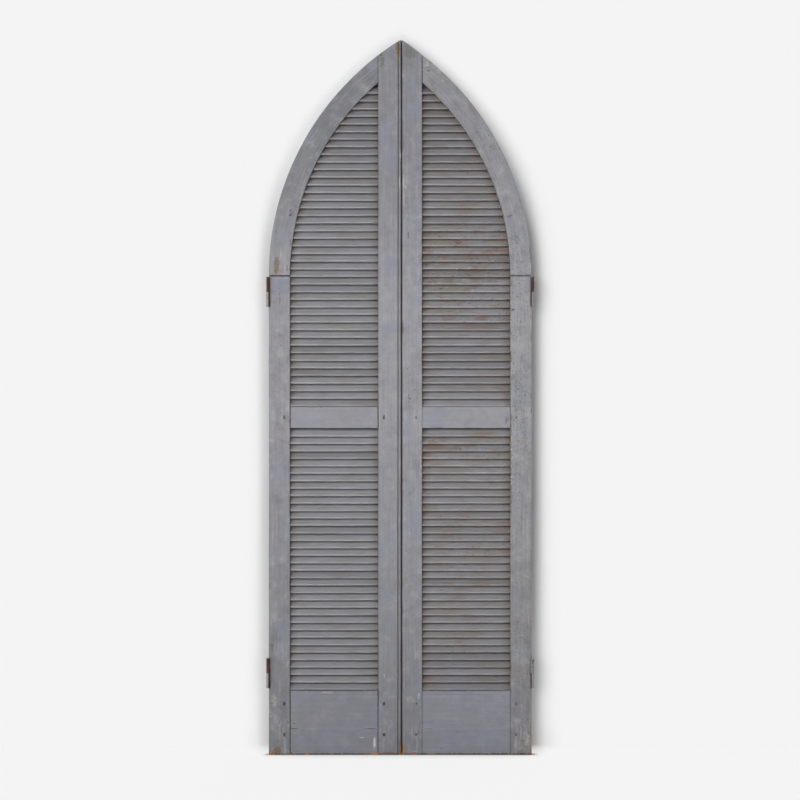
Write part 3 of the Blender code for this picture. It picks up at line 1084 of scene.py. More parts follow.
@dataclass
class DoorFrame:
    """Stiles, rails and arch head of one door."""

    side: Side
    hinge_stile_paint: BoardPaint
    meeting_stile_paint: BoardPaint
    arch_paint: BoardPaint
    rail_paint: BoardPaint
    meeting_edge: float
    bead: Bead | None
    seed: int
    seam_ease: float
    peak_lift: float
    arch_steps: int = 40

    def build(self) -> None:
        """Build the members and give each to the door."""
        rail_paint = self.rail_paint.dress()
        finishes = {
            "hinge_stile": self.hinge_stile_paint.dress(),
            "louvered_stile": self.meeting_stile_paint.dress(),
            "arch_head": self.arch_paint.dress(),
            "bottom_rail": rail_paint,
            "mid_rail": rail_paint,
        }
        for board, node, slot in self._boards():
            piece = board.build(finishes[node])
            hand_over(piece, self.side.body, slot, f"{self.side.prefix}_{node}")

    def _line(self, points: Line) -> Line:
        """A line in x and z from one in u and z."""
        return [(self.side.value * u, z) for u, z in points]

    def _crown(self, x: float) -> float:
        """Height of the meeting stile's head at a place along x, lifted towards its peak."""
        share = (SIZES.opening_inner - abs(x)) / (SIZES.opening_inner - self.meeting_edge)
        return SIZES.arch_height(SIZES.arch_radius, x) + self.peak_lift * share

    def _boards(self) -> list[tuple[Board, str, str]]:
        """The five boards, each with a seed of its own.

        Returns:
            The boards, the node that each stands for and its material slot.
        """
        name = self.side.prefix
        inner, outer, half = SIZES.opening_inner, SIZES.opening_outer, SIZES.half_width
        edge_top = SIZES.arch_height(SIZES.arch_radius, self.meeting_edge)
        recesses = [
            (height - HINGE.height / 2 - HINGE.fit, height + HINGE.height / 2 + HINGE.fit)
            for height in sorted(HINGE.levels.values())
        ]
        steps = [z for span in recesses for edge in span for z in (edge, edge + HINGE.fit)]
        run = [0.0, *steps, SIZES.spring]
        hinge_stile = Board(
            f"{name}_hinge_stile_board",
            self._line([(outer, z) for z in run]),
            self._line([(half, z) for z in run]),
            self.seed,
            head_ease=self.seam_ease,
            recesses=tuple((low + HINGE.fit / 2, high + HINGE.fit / 2) for low, high in recesses),
        )
        meeting_stile = Board(
            f"{name}_meeting_stile_board",
            self._line([(inner, 0), (inner, SIZES.arch_height(SIZES.arch_radius, inner))]),
            self._line([(self.meeting_edge, 0), (self.meeting_edge, edge_top + self.peak_lift)]),
            self.seed + 10,
            bead=self.bead,
            crown=self._crown,
        )
        arch_head = Board(
            f"{name}_arch_head_board",
            self._line(SIZES.arch_line(SIZES.inner_radius, inner, self.arch_steps)),
            self._line(SIZES.arch_line(SIZES.arch_radius, inner, self.arch_steps)),
            self.seed + 20,
            foot_ease=self.seam_ease,
            head_ease=self.seam_ease,
        )
        rails = [
            Board(
                f"{name}_{title}_board",
                self._line([(inner, low), (outer, low)]),
                self._line([(inner, high), (outer, high)]),
                self.seed + offset,
                foot_ease=self.seam_ease,
                head_ease=self.seam_ease,
            )
            for title, low, high, offset in (
                ("bottom_rail", 0.0, SIZES.bottom_rail, 30),
                ("mid_rail", SIZES.mid_rail_base, SIZES.mid_rail_top, 40),
            )
        ]
        return [
            (hinge_stile, "hinge_stile", "stile_paint"),
            (meeting_stile, "louvered_stile", "stile_paint"),
            (arch_head, "arch_head", "arch_paint"),
            (rails[0], "bottom_rail", "rail_paint"),
            (rails[1], "mid_rail", "rail_paint"),
        ]


@dataclass
class LouverBank:
    """The fixed slats of one door, cut to the arch, each a little out of true."""

    side: Side
    paint: LouverPaint
    seed: int
    width: float = 0.038
    thickness: float = 0.0065
    tilt: float = math.radians(45)
    lower_count: int = 35
    upper_count: int = 42
    top_length: float = 0.043
    seat: float = 0.0003
    let_in: float = 0.008
    wander: float = 0.0006
    turn: float = math.radians(0.9)
    slope: float = math.radians(0.12)
    bow_share: float = 0.6
    bow_waves: float = 6.0
    bow_shift: float = 40.0

    @property
    def rise(self) -> float:
        """Height that one tilted slat takes up."""
        return (self.width - self.thickness) * math.sin(self.tilt) + self.thickness

    def heights(self) -> list[float]:
        """Centre heights of the slats of both banks.

        Returns:
            The heights, from the lowest slat up.
        """
        seat = self.rise / 2 + self.seat
        top = SIZES.arch_height(SIZES.inner_radius, SIZES.opening_inner + self.top_length) + self.rise / 2
        banks = (
            (self.lower_count, SIZES.bottom_rail + seat, SIZES.mid_rail_base - seat),
            (self.upper_count, SIZES.mid_rail_top + seat, top),
        )
        return [low + (high - low) * k / (count - 1) for count, low, high in banks for k in range(count)]

    def build(self) -> None:
        """Grow the slats and give them to the door."""
        name = f"{self.side.prefix}_louver_slats"
        graph = GeometryGraph(
            name + "_tree",
            {
                "Width": self.width,
                "Thickness": self.thickness,
                "Tilt": self.tilt,
                "Half Rise": self.rise / 2,
                "Side": float(self.side.value),
                "Inner End": SIZES.opening_inner - self.let_in,
                "Let In": self.let_in,
                "Arch Radius": SIZES.inner_radius,
                "Arch Centre": SIZES.arch_centre,
                "Spring": SIZES.spring,
                "Wander": self.wander,
                "Turn": self.turn,
                "Slope": self.slope,
                "Seed": self.seed,
                "Finish": self.paint.dress(),
            },
        )
        slats = self._place(graph, self._slat(graph))
        piece = graph.grow(name, slats, [(0.0, SIZES.middle, z) for z in self.heights()])
        hand_over(piece, self.side.body, "louver_paint", f"{self.side.prefix}_louvered_stile")

    def _slat(self, graph: GeometryGraph) -> Value:
        """One slat of unit length along x, lying flat, with round edges that alone are shaded smooth.

        Args:
            graph: Tree of the slats.

        Returns:
            The slat, with its place across, through and along it kept at each point.
        """
        half, radius = graph.given("Width") * 0.5, graph.given("Thickness") * 0.5
        size = graph.vector(1.0, graph.given("Width"), graph.given("Thickness"))
        blank = graph.add(
            "GeometryNodeMeshCube", inputs={"Size": size, "Vertices X": 7, "Vertices Y": 2, "Vertices Z": 5}
        )
        x, y, z = graph.position()
        nose = half - radius + (radius * radius - z * z).most(0.0).root()
        across = y.maths("SIGN", y) * nose
        rounded = graph.move(blank, Position=graph.vector(x + 0.5, across, z))
        place_x, place_y, place_z = graph.position()
        place = graph.vector(place_y + half, place_z + radius, place_x)
        kept = graph.keep(rounded, "board", place, "FLOAT_VECTOR", "POINT")
        normal = graph.parts(graph.add("GeometryNodeInputNormal"))
        on_nose = abs(normal[1]).above(0.05)
        return graph.add("GeometryNodeSetShadeSmooth", inputs={"Geometry": kept, "Selection": on_nose})

    def _place(self, graph: GeometryGraph, slat: Value) -> Value:
        """Set the slats at the given heights, stretch them to reach into the arch and make them uneven.

        Args:
            graph: Tree of the slats.
            slat: One slat.

        Returns:
            All slats, with a random number of its own kept on each.
        """
        _, y, z = graph.position()
        above = (z - graph.given("Half Rise") - graph.given("Spring")).most(0.0)
        radius, inner = graph.given("Arch Radius"), graph.given("Inner End")
        reach = (radius * radius - above * above).root() - graph.given("Arch Centre")
        outer = reach + graph.given("Let In")
        length = outer - inner
        start = (graph.given("Side") * (inner + outer) - length) * 0.5
        raised = z + graph.chance(graph.given("Wander"), 1)
        points = graph.move(graph.given("Places"), Position=graph.vector(start, y, raised))
        turned = graph.given("Tilt") + graph.chance(graph.given("Turn"), 2)
        rotation = graph.vector(turned, graph.chance(graph.given("Slope"), 3), 0.0)
        scale = graph.vector(length, 1.0, 1.0)
        set_out = graph.add(
            "GeometryNodeInstanceOnPoints",
            inputs={"Points": points, "Instance": slat, "Rotation": rotation, "Scale": scale},
        )
        numbered = graph.keep(set_out, "slat", graph.chance(1.0, 4), "FLOAT", "INSTANCE")
        real = graph.add("GeometryNodeRealizeInstances", inputs={"Geometry": numbered})
        x, _, _ = graph.position()
        slat_number = graph.add("GeometryNodeInputNamedAttribute", {"data_type": "FLOAT"}, {"Name": "slat"})
        place = graph.vector(x, slat_number * self.bow_shift, 0.0)
        bow = graph.noise(place, scale=self.bow_waves, detail=2) - 0.5
        return graph.move(real, Offset=graph.vector(0.0, 0.0, bow * graph.given("Wander") * self.bow_share))


@dataclass
class PegSet:
    """Pegs through the rails' tenons of one door, taller than wide and each a little different."""

    side: Side
    paint_share: float
    swell: float
    seed: int
    radius: float = 0.004
    proud: float = 0.0004
    setback: float = 0.019
    low: float = 0.068
    high: float = 0.172
    mid: float = 1.135
    sides: int = 14
    girth: float = 1.1
    girth_reach: float = 0.2
    swell_reach: float = 0.3
    spin_reach: float = 0.1
    lean_reach: float = 0.02

    def build(self) -> None:
        """Grow the pegs and give them to the door."""
        name = f"{self.side.prefix}_pegs"
        graph = GeometryGraph(
            name + "_tree",
            {
                "Radius": self.radius,
                "Length": SIZES.thickness + 2 * self.proud,
                "Seed": self.seed,
                "Finish": PegWood(f"{self.side.prefix}_peg_end_grain", self.paint_share).dress(),
            },
        )
        peg = graph.add(
            "GeometryNodeMeshCylinder",
            {"fill_type": "NGON"},
            {"Vertices": self.sides, "Radius": graph.given("Radius"), "Depth": graph.given("Length")},
        )
        spin, lean = graph.chance(self.spin_reach, 1), graph.chance(self.lean_reach, 2)
        wide = self.girth + graph.chance(self.girth_reach, 3)
        tall = self.swell + graph.chance(self.swell_reach, 4)
        pegs = graph.add(
            "GeometryNodeInstanceOnPoints",
            inputs={
                "Points": graph.given("Places"),
                "Instance": peg,
                "Rotation": graph.vector(math.pi / 2, spin, lean),
                "Scale": graph.vector(wide, tall, 1.0),
            },
        )
        real = graph.add("GeometryNodeRealizeInstances", inputs={"Geometry": pegs})
        places, nodes = [], []
        ends = {"inner": SIZES.opening_inner - self.setback, "outer": SIZES.opening_outer + self.setback}
        for end, u in ends.items():
            at = self.side.value * u
            for rail, z in (("bottom_rail", self.low), ("bottom_rail", self.high), ("mid_rail", self.mid)):
                places.append((at, SIZES.middle, z))
                level = {self.low: "_lower", self.high: "_upper"}.get(z, "")
                nodes.append(f"{self.side.prefix}_{rail}_peg_{end}{level}")
        piece = graph.grow(name, real, places)
        hand_over(piece, self.side.body, "peg_wood", *nodes)


@dataclass(frozen=True)
class StagePaint:
    """Pale paint of the floor or the wall, which keeps the shadow close beside the doors.

    The even white starts at near and is full at far, both measured from the doors' outline, which is raised
    a little at the seam between the meeting stiles. It glows for the rays that show the background and for
    no others. The wall is clear from behind, lets light through and carries painted shadow, shade and light.
    """

    name: str
    near: float
    far: float
    is_wall: bool
    white: Colour = shade(244, 244, 244)
    matt: Colour = shade(243, 243, 243)
    # Painted shadow on the wall close beside the doors
    dimmed: Colour = shade(197, 197, 197)
    # Painted dark shade on the wall behind a closed door
    behind_door: Colour = shade(96, 92, 92)
    glow_share: float = 0.97
    seam_x: float = 0.005
    seam_core: float = 0.002
    seam_reach: float = 0.006
    seam_rise: float = 0.006
    clear_reach: float = 0.1
    clear_samples: int = 8

    def dress(self) -> bpy.types.Material:
        """Build the material.

        Returns:
            The material.
        """
        graph = SurfaceGraph(self.name)
        graph.tree.nodes.remove(graph.shader)
        x, y, z = graph.x, graph.y, graph.z
        seam = abs(x - self.seam_x).ramp(self.seam_reach, self.seam_core)
        beside = arch_reach(x, z) - SIZES.arch_radius - seam * self.seam_rise
        rightward = x.ramp(-0.3, 0.3)
        # The shadow is narrower beside the peak and wider on the right
        sooner = 1.0 + z.ramp(1.8, 2.4) - rightward * 0.22
        away = (beside * sooner).most(SIZES.front - y).most((y - SIZES.back) * 0.07)
        settings, inputs = {"samples": self.clear_samples}, {"Distance": self.clear_reach}
        clearance = graph.add("ShaderNodeAmbientOcclusion", settings, inputs, "AO")
        outside = away.ramp(self.near, self.far)
        if self.is_wall:
            outside, covered = self._on_wall(z, outside, beside, seam, clearance)
        else:
            under_door = clearance.ramp(0.95, 0.6) * (SIZES.front - y).ramp(0.03, 0.06)
            outside, covered = outside * (1.0 - under_door), 0.0
        glow = outside * self.glow_share
        # Painted shadow: close beside the doors the wall's colour turns darker, more on the right and fading
        # out up the arch
        dim = beside.ramp(0.05, 0.0) * z.ramp(2.1, 1.6) * (1.0 - glow) * (0.68 + rightward * 0.32)
        tone = graph.mix(covered, graph.mix(dim, self.matt, self.dimmed), self.behind_door)
        self._surface(graph, tone, glow)
        return graph.material

    def _on_wall(
        self, z: Value, outside: Value, beside: Value, seam: Value, clearance: Value
    ) -> tuple[Value, Value]:
        """Whiten the wall where an opened door has left it, and pale the shadow as painted light at the arch
        and foot.

        Args:
            z: Height.
            outside: Share of even white beside the doors.
            beside: Distance outside the doors' outline.
            seam: Share of the seam.
            clearance: How free the place is of anything close by, from 0 to 1.

        Returns:
            The share of even white, and the share of painted dark shade behind a closed door and in the seam.
        """
        # The floor lies close to the foot of the wall, and that is allowed for
        freed = clearance + z.ramp(0.13, 0.0) * beside.ramp(0.002, -0.002) * 0.6
        white = outside.most(freed.ramp(0.94, 1.0))
        # Painted light: the doors' shadow on the wall is paled near the arch's peak, a little low down and
        # most at the wall's foot
        lift = (z.ramp(1.7, 2.35) * 0.4).most(z.ramp(0.8, 0.1) * 0.13).most(z.ramp(0.042, 0.0) * 0.8)
        white = white.most(lift * beside.ramp(-0.002, 0.0005) + white * 0.6)
        # Painted shade: the wall is dark behind a closed door and in the seam between the doors
        behind = beside.ramp(0.0, -0.008) * clearance.ramp(0.3, 0.1)
        in_seam = seam * beside.ramp(0.0, -0.001) * freed.ramp(0.9, 0.7)
        return white, behind.most(in_seam)

    def _surface(self, graph: SurfaceGraph, tone: Value, glow: Value) -> None:
        """Link the matt and the glowing paint to the material's output.

        Args:
            graph: Graph of the material.
            tone: Colour of the matt paint.
            glow: Share of the glowing white.
        """
        matt = graph.add("ShaderNodeBsdfDiffuse", inputs={"Color": tone})
        white = graph.add("ShaderNodeEmission", inputs={"Color": (*self.white, 1.0)})
        seen = graph.background_rays()
        mixed = graph.add("ShaderNodeMixShader", inputs={0: seen * glow, 1: matt, 2: white})
        if self.is_wall:
            clear = graph.add("ShaderNodeBsdfTransparent")
            behind = graph.add("ShaderNodeNewGeometry", output="Backfacing")
            passing = behind.most(graph.add("ShaderNodeLightPath", output="Is Shadow Ray"))
            mixed = graph.add("ShaderNodeMixShader", inputs={0: passing, 1: mixed, 2: clear})
        graph.tree.links.new(mixed.socket, graph.tree.nodes["Material Output"].inputs["Surface"])


@dataclass
class Studio:
    """Pale floor and wall, soft lamps, and a camera square to the doors."""

    frame_width: float = 2.691
    centre_x: float = -0.0007
    centre_z: float = 1.1935
    distance: float = 9.0
    wall_gap: float = 0.006
    reach: float = 30.0
    room_light: float = 0.15
    backdrop_light: float = 0.9

    def build(self) -> None:
        """Set the stage, the lamps, the world and the camera."""
        bpy.context.scene.view_settings.view_transform = "Standard"
        wall_y = SIZES.back + self.wall_gap
        far = self.reach
        floor = self._sheet("floor", [(-far, -far, 0), (far, -far, 0), (far, far, 0), (-far, far, 0)])
        wall = self._sheet(
            "wall", [(-far, wall_y, 0), (far, wall_y, 0), (far, wall_y, far), (-far, wall_y, far)]
        )
        floor.data.materials.append(StagePaint("pale_floor", near=0.0, far=0.03, is_wall=False).dress())
        wall.data.materials.append(StagePaint("pale_wall", near=0.02, far=0.09, is_wall=True).dress())
        self._world()
        self._lamp("key_lamp", place=(-4.6, -6.6, 3.3), size=(7.0, 3.0), power=433.0)
        self._lamp("fill_lamp", place=(5.2, -6.0, 2.7), size=(4.0, 3.0), power=70.0)
        self._lamp("back_lamp", place=(2.5, 6.5, 3.2), size=(6.0, 3.0), power=340.0)
        self._camera()
        LOG.info("studio: floor, wall, three lamps, camera")

    def _sheet(self, name: str, corners: list[Point]) -> bpy.types.Object:
        """Add a flat sheet of the stage.

        Args:
            name: Name of the sheet.
            corners: Its four corners in order.

        Returns:
            The sheet.
        """
        mesh = bpy.data.meshes.new(name)
        mesh.from_pydata(corners, [], [(0, 1, 2, 3)])
        return stand(name, mesh)

    def _world(self) -> None:
        """Even pale light from all round, brighter for the rays that show the background."""
        world = bpy.data.worlds.new("even_light")
        world.use_nodes = True
        graph = Graph(world.node_tree)
        background = graph.tree.nodes["Background"]
        strength = self.room_light + graph.background_rays() * (self.backdrop_light - self.room_light)
        background.inputs["Color"].default_value = (1.0, 1.0, 1.0, 1.0)
        graph.tree.links.new(strength.socket, background.inputs["Strength"])
        bpy.context.scene.world = world

    def _lamp(self, name: str, place: Point, size: tuple[float, float], power: float) -> None:
        """Add a soft area lamp aimed at the middle of the doors.

        Args:
            name: Name of the lamp.
            place: Where it stands.
            size: Its width and height.
            power: Its power in watts.
        """
        lamp = bpy.data.lights.new(name, "AREA")
        lamp.shape = "RECTANGLE"
        lamp.size, lamp.size_y = size
        lamp.energy = power
        holder = bpy.data.objects.new(name, lamp)
        holder.location = place
        aim = Vector((0.0, 0.0, self.centre_z)) - Vector(place)
        holder.rotation_euler = aim.to_track_quat("-Z", "Y").to_euler()
        bpy.context.scene.collection.objects.link(holder)

    def _camera(self) -> None:
        """Long lens square to the doors, framed as wide as the picture."""
        camera = bpy.data.cameras.new("camera")
        camera.sensor_width = 36.0
        camera.lens = camera.sensor_width * self.distance / self.frame_width
        camera.clip_end = 100.0
        holder = bpy.data.objects.new("camera", camera)
        holder.location = (self.centre_x, SIZES.front - self.distance, self.centre_z)
        holder.rotation_euler = (math.pi / 2, 0.0, 0.0)
        bpy.context.scene.collection.objects.link(holder)
        bpy.context.scene.camera = holder


# Each mark gives its kind, x, z, half width and half height, then its strength and its cover
LEFT_HINGE_STILE = BoardPaint(
    "left_hinge_stile_grey_paint",
    tone=shade(149, 147, 153),
    high=shade(147, 146, 151),
    low=shade(123, 123, 128),
    worn_share=0.14,
    speck_share=0.4,
    seam_dirt=0.9,
    unevenness=1.5,
    marks=(
        Mark(BARE_WOOD, -0.430, 0.006, 0.014, 0.014, 0.8, 0.85),
        Mark(BROWN_STAIN, -0.412, 0.012, 0.024, 0.022, 0.8, 0.6),
        Mark(PALE_SCUFF, -0.424, 0.180, 0.016, 0.034, 0.24, 0.5),
        Mark(DARK_CRACK, -0.430, 0.365, 0.009, 0.045, 0.6, 0.15),
        Mark(DARK_CRACK, -0.405, 1.530, 0.004, 0.050, 0.45, 0.3),
        Mark(DARK_CRACK, -0.391, 0.173, 0.0080, 0.014, 0.8, 0.35),
        Mark(DARK_CRACK, -0.390, 0.069, 0.0065, 0.012, 0.8, 0.35),
    ),
)
LEFT_MEETING_STILE = BoardPaint(
    "left_meeting_stile_grey_paint",
    tone=shade(155, 154, 160),
    high=shade(135, 134, 140),
    low=shade(128, 128, 134),
    worn_share=0.10,
    speck_share=0.25,
    seam_dirt=0.9,
    unevenness=1.0,
    marks=(
        Mark(BROWN_STAIN, -0.0075, 2.3780, 0.0105, 0.026, 0.8, 0.75),
        Mark(BARE_WOOD, -0.0060, 2.3700, 0.0050, 0.030, 0.9, 0.9),
        Mark(GREEN_GRIME, -0.0640, 2.3560, 0.005, 0.008, 0.9),
        Mark(GREEN_GRIME, -0.0610, 2.3300, 0.012, 0.040, 0.6, 0.6),
        Mark(GREEN_GRIME, -0.0320, 2.3600, 0.030, 0.028, 0.18, 0.8),
        Mark(BARE_WOOD, 0.0010, 0.020, 0.0045, 0.026, 0.8),
        Mark(BROWN_STAIN, -0.040, 0.003, 0.036, 0.007, 0.8),
        Mark(BROWN_STAIN, 0.0010, 0.330, 0.003, 0.050, 0.7, 0.6),
        # A faint brown stripe down the bead: dirt, with painted shade of the quirk beside it
        Mark(BROWN_STAIN, -0.0040, 1.150, 0.0058, 1.400, 0.2),
        Mark(BROWN_STAIN, -0.0010, 0.900, 0.0040, 0.032, 0.4, 0.8),
        Mark(PALE_SCUFF, 0.0010, 2.017, 0.0024, 0.013, 0.7, 0.9),
        Mark(PALE_SCUFF, -0.0020, 1.925, 0.0028, 0.030, 0.3, 0.8),
        Mark(PALE_SCUFF, -0.0540, 0.266, 0.0020, 0.008, 0.4, 0.9),
        Mark(DARK_CRACK, -0.0545, 0.172, 0.0055, 0.010, 0.7, 0.35),
        Mark(DARK_CRACK, -0.0530, 0.068, 0.0060, 0.008, 0.7, 0.35),
    ),
)
LEFT_ARCH = BoardPaint(
    "left_arch_grey_paint",
    tone=shade(155, 154, 159),
    high=shade(120, 120, 126),
    low=shade(125, 125, 131),
    worn_share=0.12,
    speck_share=0.4,
    seam_dirt=0.9,
    unevenness=1.4,
    marks=(
        Mark(BROWN_STAIN, -0.4155, 1.645, 0.0115, 0.036, 0.75, 0.7),
        Mark(BARE_WOOD, -0.4160, 1.630, 0.0085, 0.022, 0.75, 0.7),
        Mark(BROWN_STAIN, -0.380, 1.636, 0.006, 0.016, 0.7, 0.6),
        Mark(BROWN_STAIN, -0.3690, 1.724, 0.004, 0.022, 0.6, 0.6),
        Mark(DARK_CRACK, -0.368, 1.820, 0.014, 0.026, 0.85, 0.22),
    ),
)
LEFT_RAIL = BoardPaint(
    "left_rail_grey_paint",
    tone=shade(151, 150, 158),
    high=shade(151, 150, 158),
    low=shade(130, 130, 138),
    worn_share=0.05,
    speck_share=0.02,
    seam_dirt=0.95,
    unevenness=0.6,
    marks=(
        Mark(PALE_SCUFF, -0.0865, 0.040, 0.0050, 0.024, 0.8, 0.75),
        Mark(PALE_SCUFF, -0.128, 0.058, 0.012, 0.0026, 0.4, 0.7),
        Mark(PALE_SCUFF, -0.243, 0.2095, 0.024, 0.004, 0.35, 0.5),
        Mark(BARE_WOOD, -0.086, 0.003, 0.018, 0.007, 0.8),
        Mark(DARK_CRACK, -0.360, 0.0885, 0.020, 0.0016, 0.7, 0.75),
        Mark(DARK_CRACK, -0.098, 0.0880, 0.028, 0.0016, 0.7, 0.75),
        Mark(DARK_CRACK, -0.355, 0.1060, 0.016, 0.0030, 0.4, 0.5),
        # A dark line along the top of the bottom rail, under the lowest slat: painted shade
        Mark(DARK_CRACK, -0.222, 0.2165, 0.180, 0.0022, 0.8, 0.95),
    ),
)
RIGHT_HINGE_STILE = BoardPaint(
    "right_hinge_stile_grey_paint",
    tone=shade(158, 157, 160),
    high=shade(156, 155, 160),
    low=shade(127, 125, 125),
    worn_share=0.28,
    speck_share=0.6,
    seam_dirt=0.5,
    unevenness=1.5,
    marks=(
        Mark(BARE_WOOD, 0.4400, 0.060, 0.005, 0.085, 0.7, 0.6),
        Mark(BROWN_STAIN, 0.3725, 0.985, 0.0075, 0.215, 0.8, 0.55),
        Mark(PALE_SCUFF, 0.3740, 0.990, 0.0070, 0.180, 0.8, 0.15),
        Mark(DARK_CRACK, 0.402, 1.210, 0.040, 0.130, 0.4, 0.06),
        Mark(DARK_CRACK, 0.416, 1.110, 0.030, 0.070, 0.4, 0.04),
        Mark(DARK_CRACK, 0.380, 1.497, 0.007, 0.004, 0.8, 0.7),
        Mark(PALE_SCUFF, 0.425, 0.055, 0.016, 0.050, 0.25, 0.4),
        Mark(DARK_CRACK, 0.390, 0.067, 0.0070, 0.009, 0.6, 0.35),
    ),
)
RIGHT_MEETING_STILE = BoardPaint(
    "right_meeting_stile_grey_paint",
    tone=shade(155, 154, 161),
    high=shade(136, 135, 142),
    low=shade(128, 128, 134),
    worn_share=0.24,
    speck_share=0.4,
    seam_dirt=0.5,
    unevenness=1.3,
    marks=(
        Mark(BARE_WOOD, 0.0105, 0.018, 0.006, 0.026, 0.85),
        Mark(BROWN_STAIN, 0.042, 0.002, 0.036, 0.006, 0.5),
        Mark(BROWN_STAIN, 0.0690, 0.980, 0.0055, 0.130, 0.7, 0.35),
        Mark(PALE_SCUFF, 0.0690, 0.965, 0.0045, 0.110, 0.5, 0.2),
        Mark(BROWN_STAIN, 0.0090, 1.430, 0.0035, 0.030, 0.8, 0.7),
        Mark(BROWN_STAIN, 0.0090, 2.070, 0.0040, 0.042, 0.4, 0.7),
        Mark(BROWN_STAIN, 0.0100, 0.878, 0.0035, 0.016, 0.4, 0.7),
        Mark(PALE_SCUFF, 0.0115, 1.925, 0.0050, 0.030, 0.3, 0.7),
        Mark(PALE_SCUFF, 0.0175, 1.910, 0.0032, 0.012, 0.3, 0.8),
        Mark(PALE_SCUFF, 0.0120, 1.870, 0.0050, 0.030, 0.2, 0.7),
        Mark(PALE_SCUFF, 0.0090, 2.285, 0.0028, 0.009, 0.25, 0.8),
        Mark(DARK_CRACK, 0.0276, 1.747, 0.0028, 0.014, 0.5, 0.9),
        Mark(DARK_CRACK, 0.030, 1.205, 0.007, 0.050, 0.6, 0.25),
        Mark(GREEN_GRIME, 0.036, 2.372, 0.034, 0.036, 0.4, 0.8),
        Mark(GREEN_GRIME, 0.022, 2.330, 0.022, 0.060, 0.2, 0.8),
        Mark(PALE_SCUFF, 0.062, 0.195, 0.009, 0.020, 0.4, 0.4),
    ),
)
RIGHT_ARCH = BoardPaint(
    "right_arch_grey_paint",
    tone=shade(156, 155, 160),
    high=shade(146, 145, 150),
    low=shade(126, 126, 131),
    worn_share=0.28,
    speck_share=0.6,
    seam_dirt=0.9,
    unevenness=1.5,
    marks=(
        Mark(DARK_CRACK, 0.370, 1.816, 0.018, 0.022, 0.6, 0.12),
        Mark(DARK_CRACK, 0.392, 1.725, 0.040, 0.090, 0.4, 0.05),
        Mark(DARK_CRACK, 0.096, 2.302, 0.009, 0.007, 0.5, 0.4),
        Mark(BROWN_STAIN, 0.104, 2.332, 0.026, 0.012, 0.55, 0.45),
        Mark(BROWN_STAIN, 0.238, 2.192, 0.014, 0.034, 0.6, 0.3),
        Mark(PALE_SCUFF, 0.090, 2.324, 0.014, 0.016, 0.4, 0.3),
        Mark(PALE_SCUFF, 0.146, 2.272, 0.024, 0.018, 0.3, 0.1),
        Mark(GREEN_GRIME, 0.150, 2.270, 0.080, 0.060, 0.14, 0.8),
    ),
)
RIGHT_RAIL = BoardPaint(
    "right_rail_grey_paint",
    tone=shade(155, 154, 160),
    high=shade(154, 153, 159),
    low=shade(134, 135, 144),
    worn_share=0.15,
    speck_share=0.06,
    seam_dirt=0.35,
    unevenness=0.6,
    marks=(
        Mark(BROWN_STAIN, 0.180, 0.001, 0.100, 0.006, 0.35),
        Mark(DARK_CRACK, 0.098, 0.0885, 0.022, 0.0012, 0.4, 0.7),
        Mark(DARK_CRACK, 0.195, 0.0775, 0.006, 0.004, 0.35, 0.5),
        Mark(DARK_CRACK, 0.140, 0.0205, 0.006, 0.005, 0.4, 0.5),
        # A dark line along the top of the bottom rail, under the lowest slat: painted shade
        Mark(DARK_CRACK, 0.222, 0.2165, 0.180, 0.0022, 0.8, 0.95),
        Mark(BROWN_STAIN, 0.360, 1.125, 0.012, 0.034, 0.6, 0.25),
    ),
)
LEFT_LOUVER = LouverPaint(
    "left_louver_grey_paint",
    tone=shade(163, 163, 168),
    warm=shade(155, 153, 152),
    stain=shade(134, 117, 106),
    stain_share=0.25,
    end_dirt=0.36,
)
RIGHT_LOUVER = LouverPaint(
    "right_louver_grey_paint",
    tone=shade(159, 158, 162),
    warm=shade(151, 146, 140),
    stain=shade(140, 113, 100),
    stain_share=1.0,
    end_dirt=0.45,
    stain_bands=((1.45, 1.77), (1.00, 1.07)),
)
HINGE_IRON = RustyIron(
    "rusty_hinge_iron",
    dark=shade(50, 34, 34),
    rust=shade(96, 58, 52),
    paint=shade(122, 118, 122),
    paint_share=0.15,
    bare_share=0.2,
)
GREYED_IRON = RustyIron(
    "greyed_hinge_iron",
    dark=shade(62, 50, 50),
    rust=shade(104, 76, 68),
    paint=shade(140, 138, 140),
    paint_share=0.65,
    bare_share=0.2,
)
JAMB_IRON = RustyIron(
    "painted_jamb_iron",
    dark=shade(54, 38, 36),
    rust=shade(92, 58, 50),
    paint=shade(150, 150, 149),
    paint_share=1.1,
    bare_share=0.05,
    rubbed_within=0.4424,
)
PIN_STEEL = RustyIron(
    "worn_pin_steel",
    dark=shade(96, 90, 86),
    rust=shade(110, 84, 66),
    paint=shade(90, 84, 80),
    paint_share=0.0,
    bare_share=0.8,
)
SCREW_STEEL = RustyIron(
    "rusty_screw_steel",
    dark=shade(66, 54, 50),
    rust=shade(112, 76, 58),
    paint=shade(110, 106, 106),
    paint_share=0.2,
    bare_share=0.5,
)


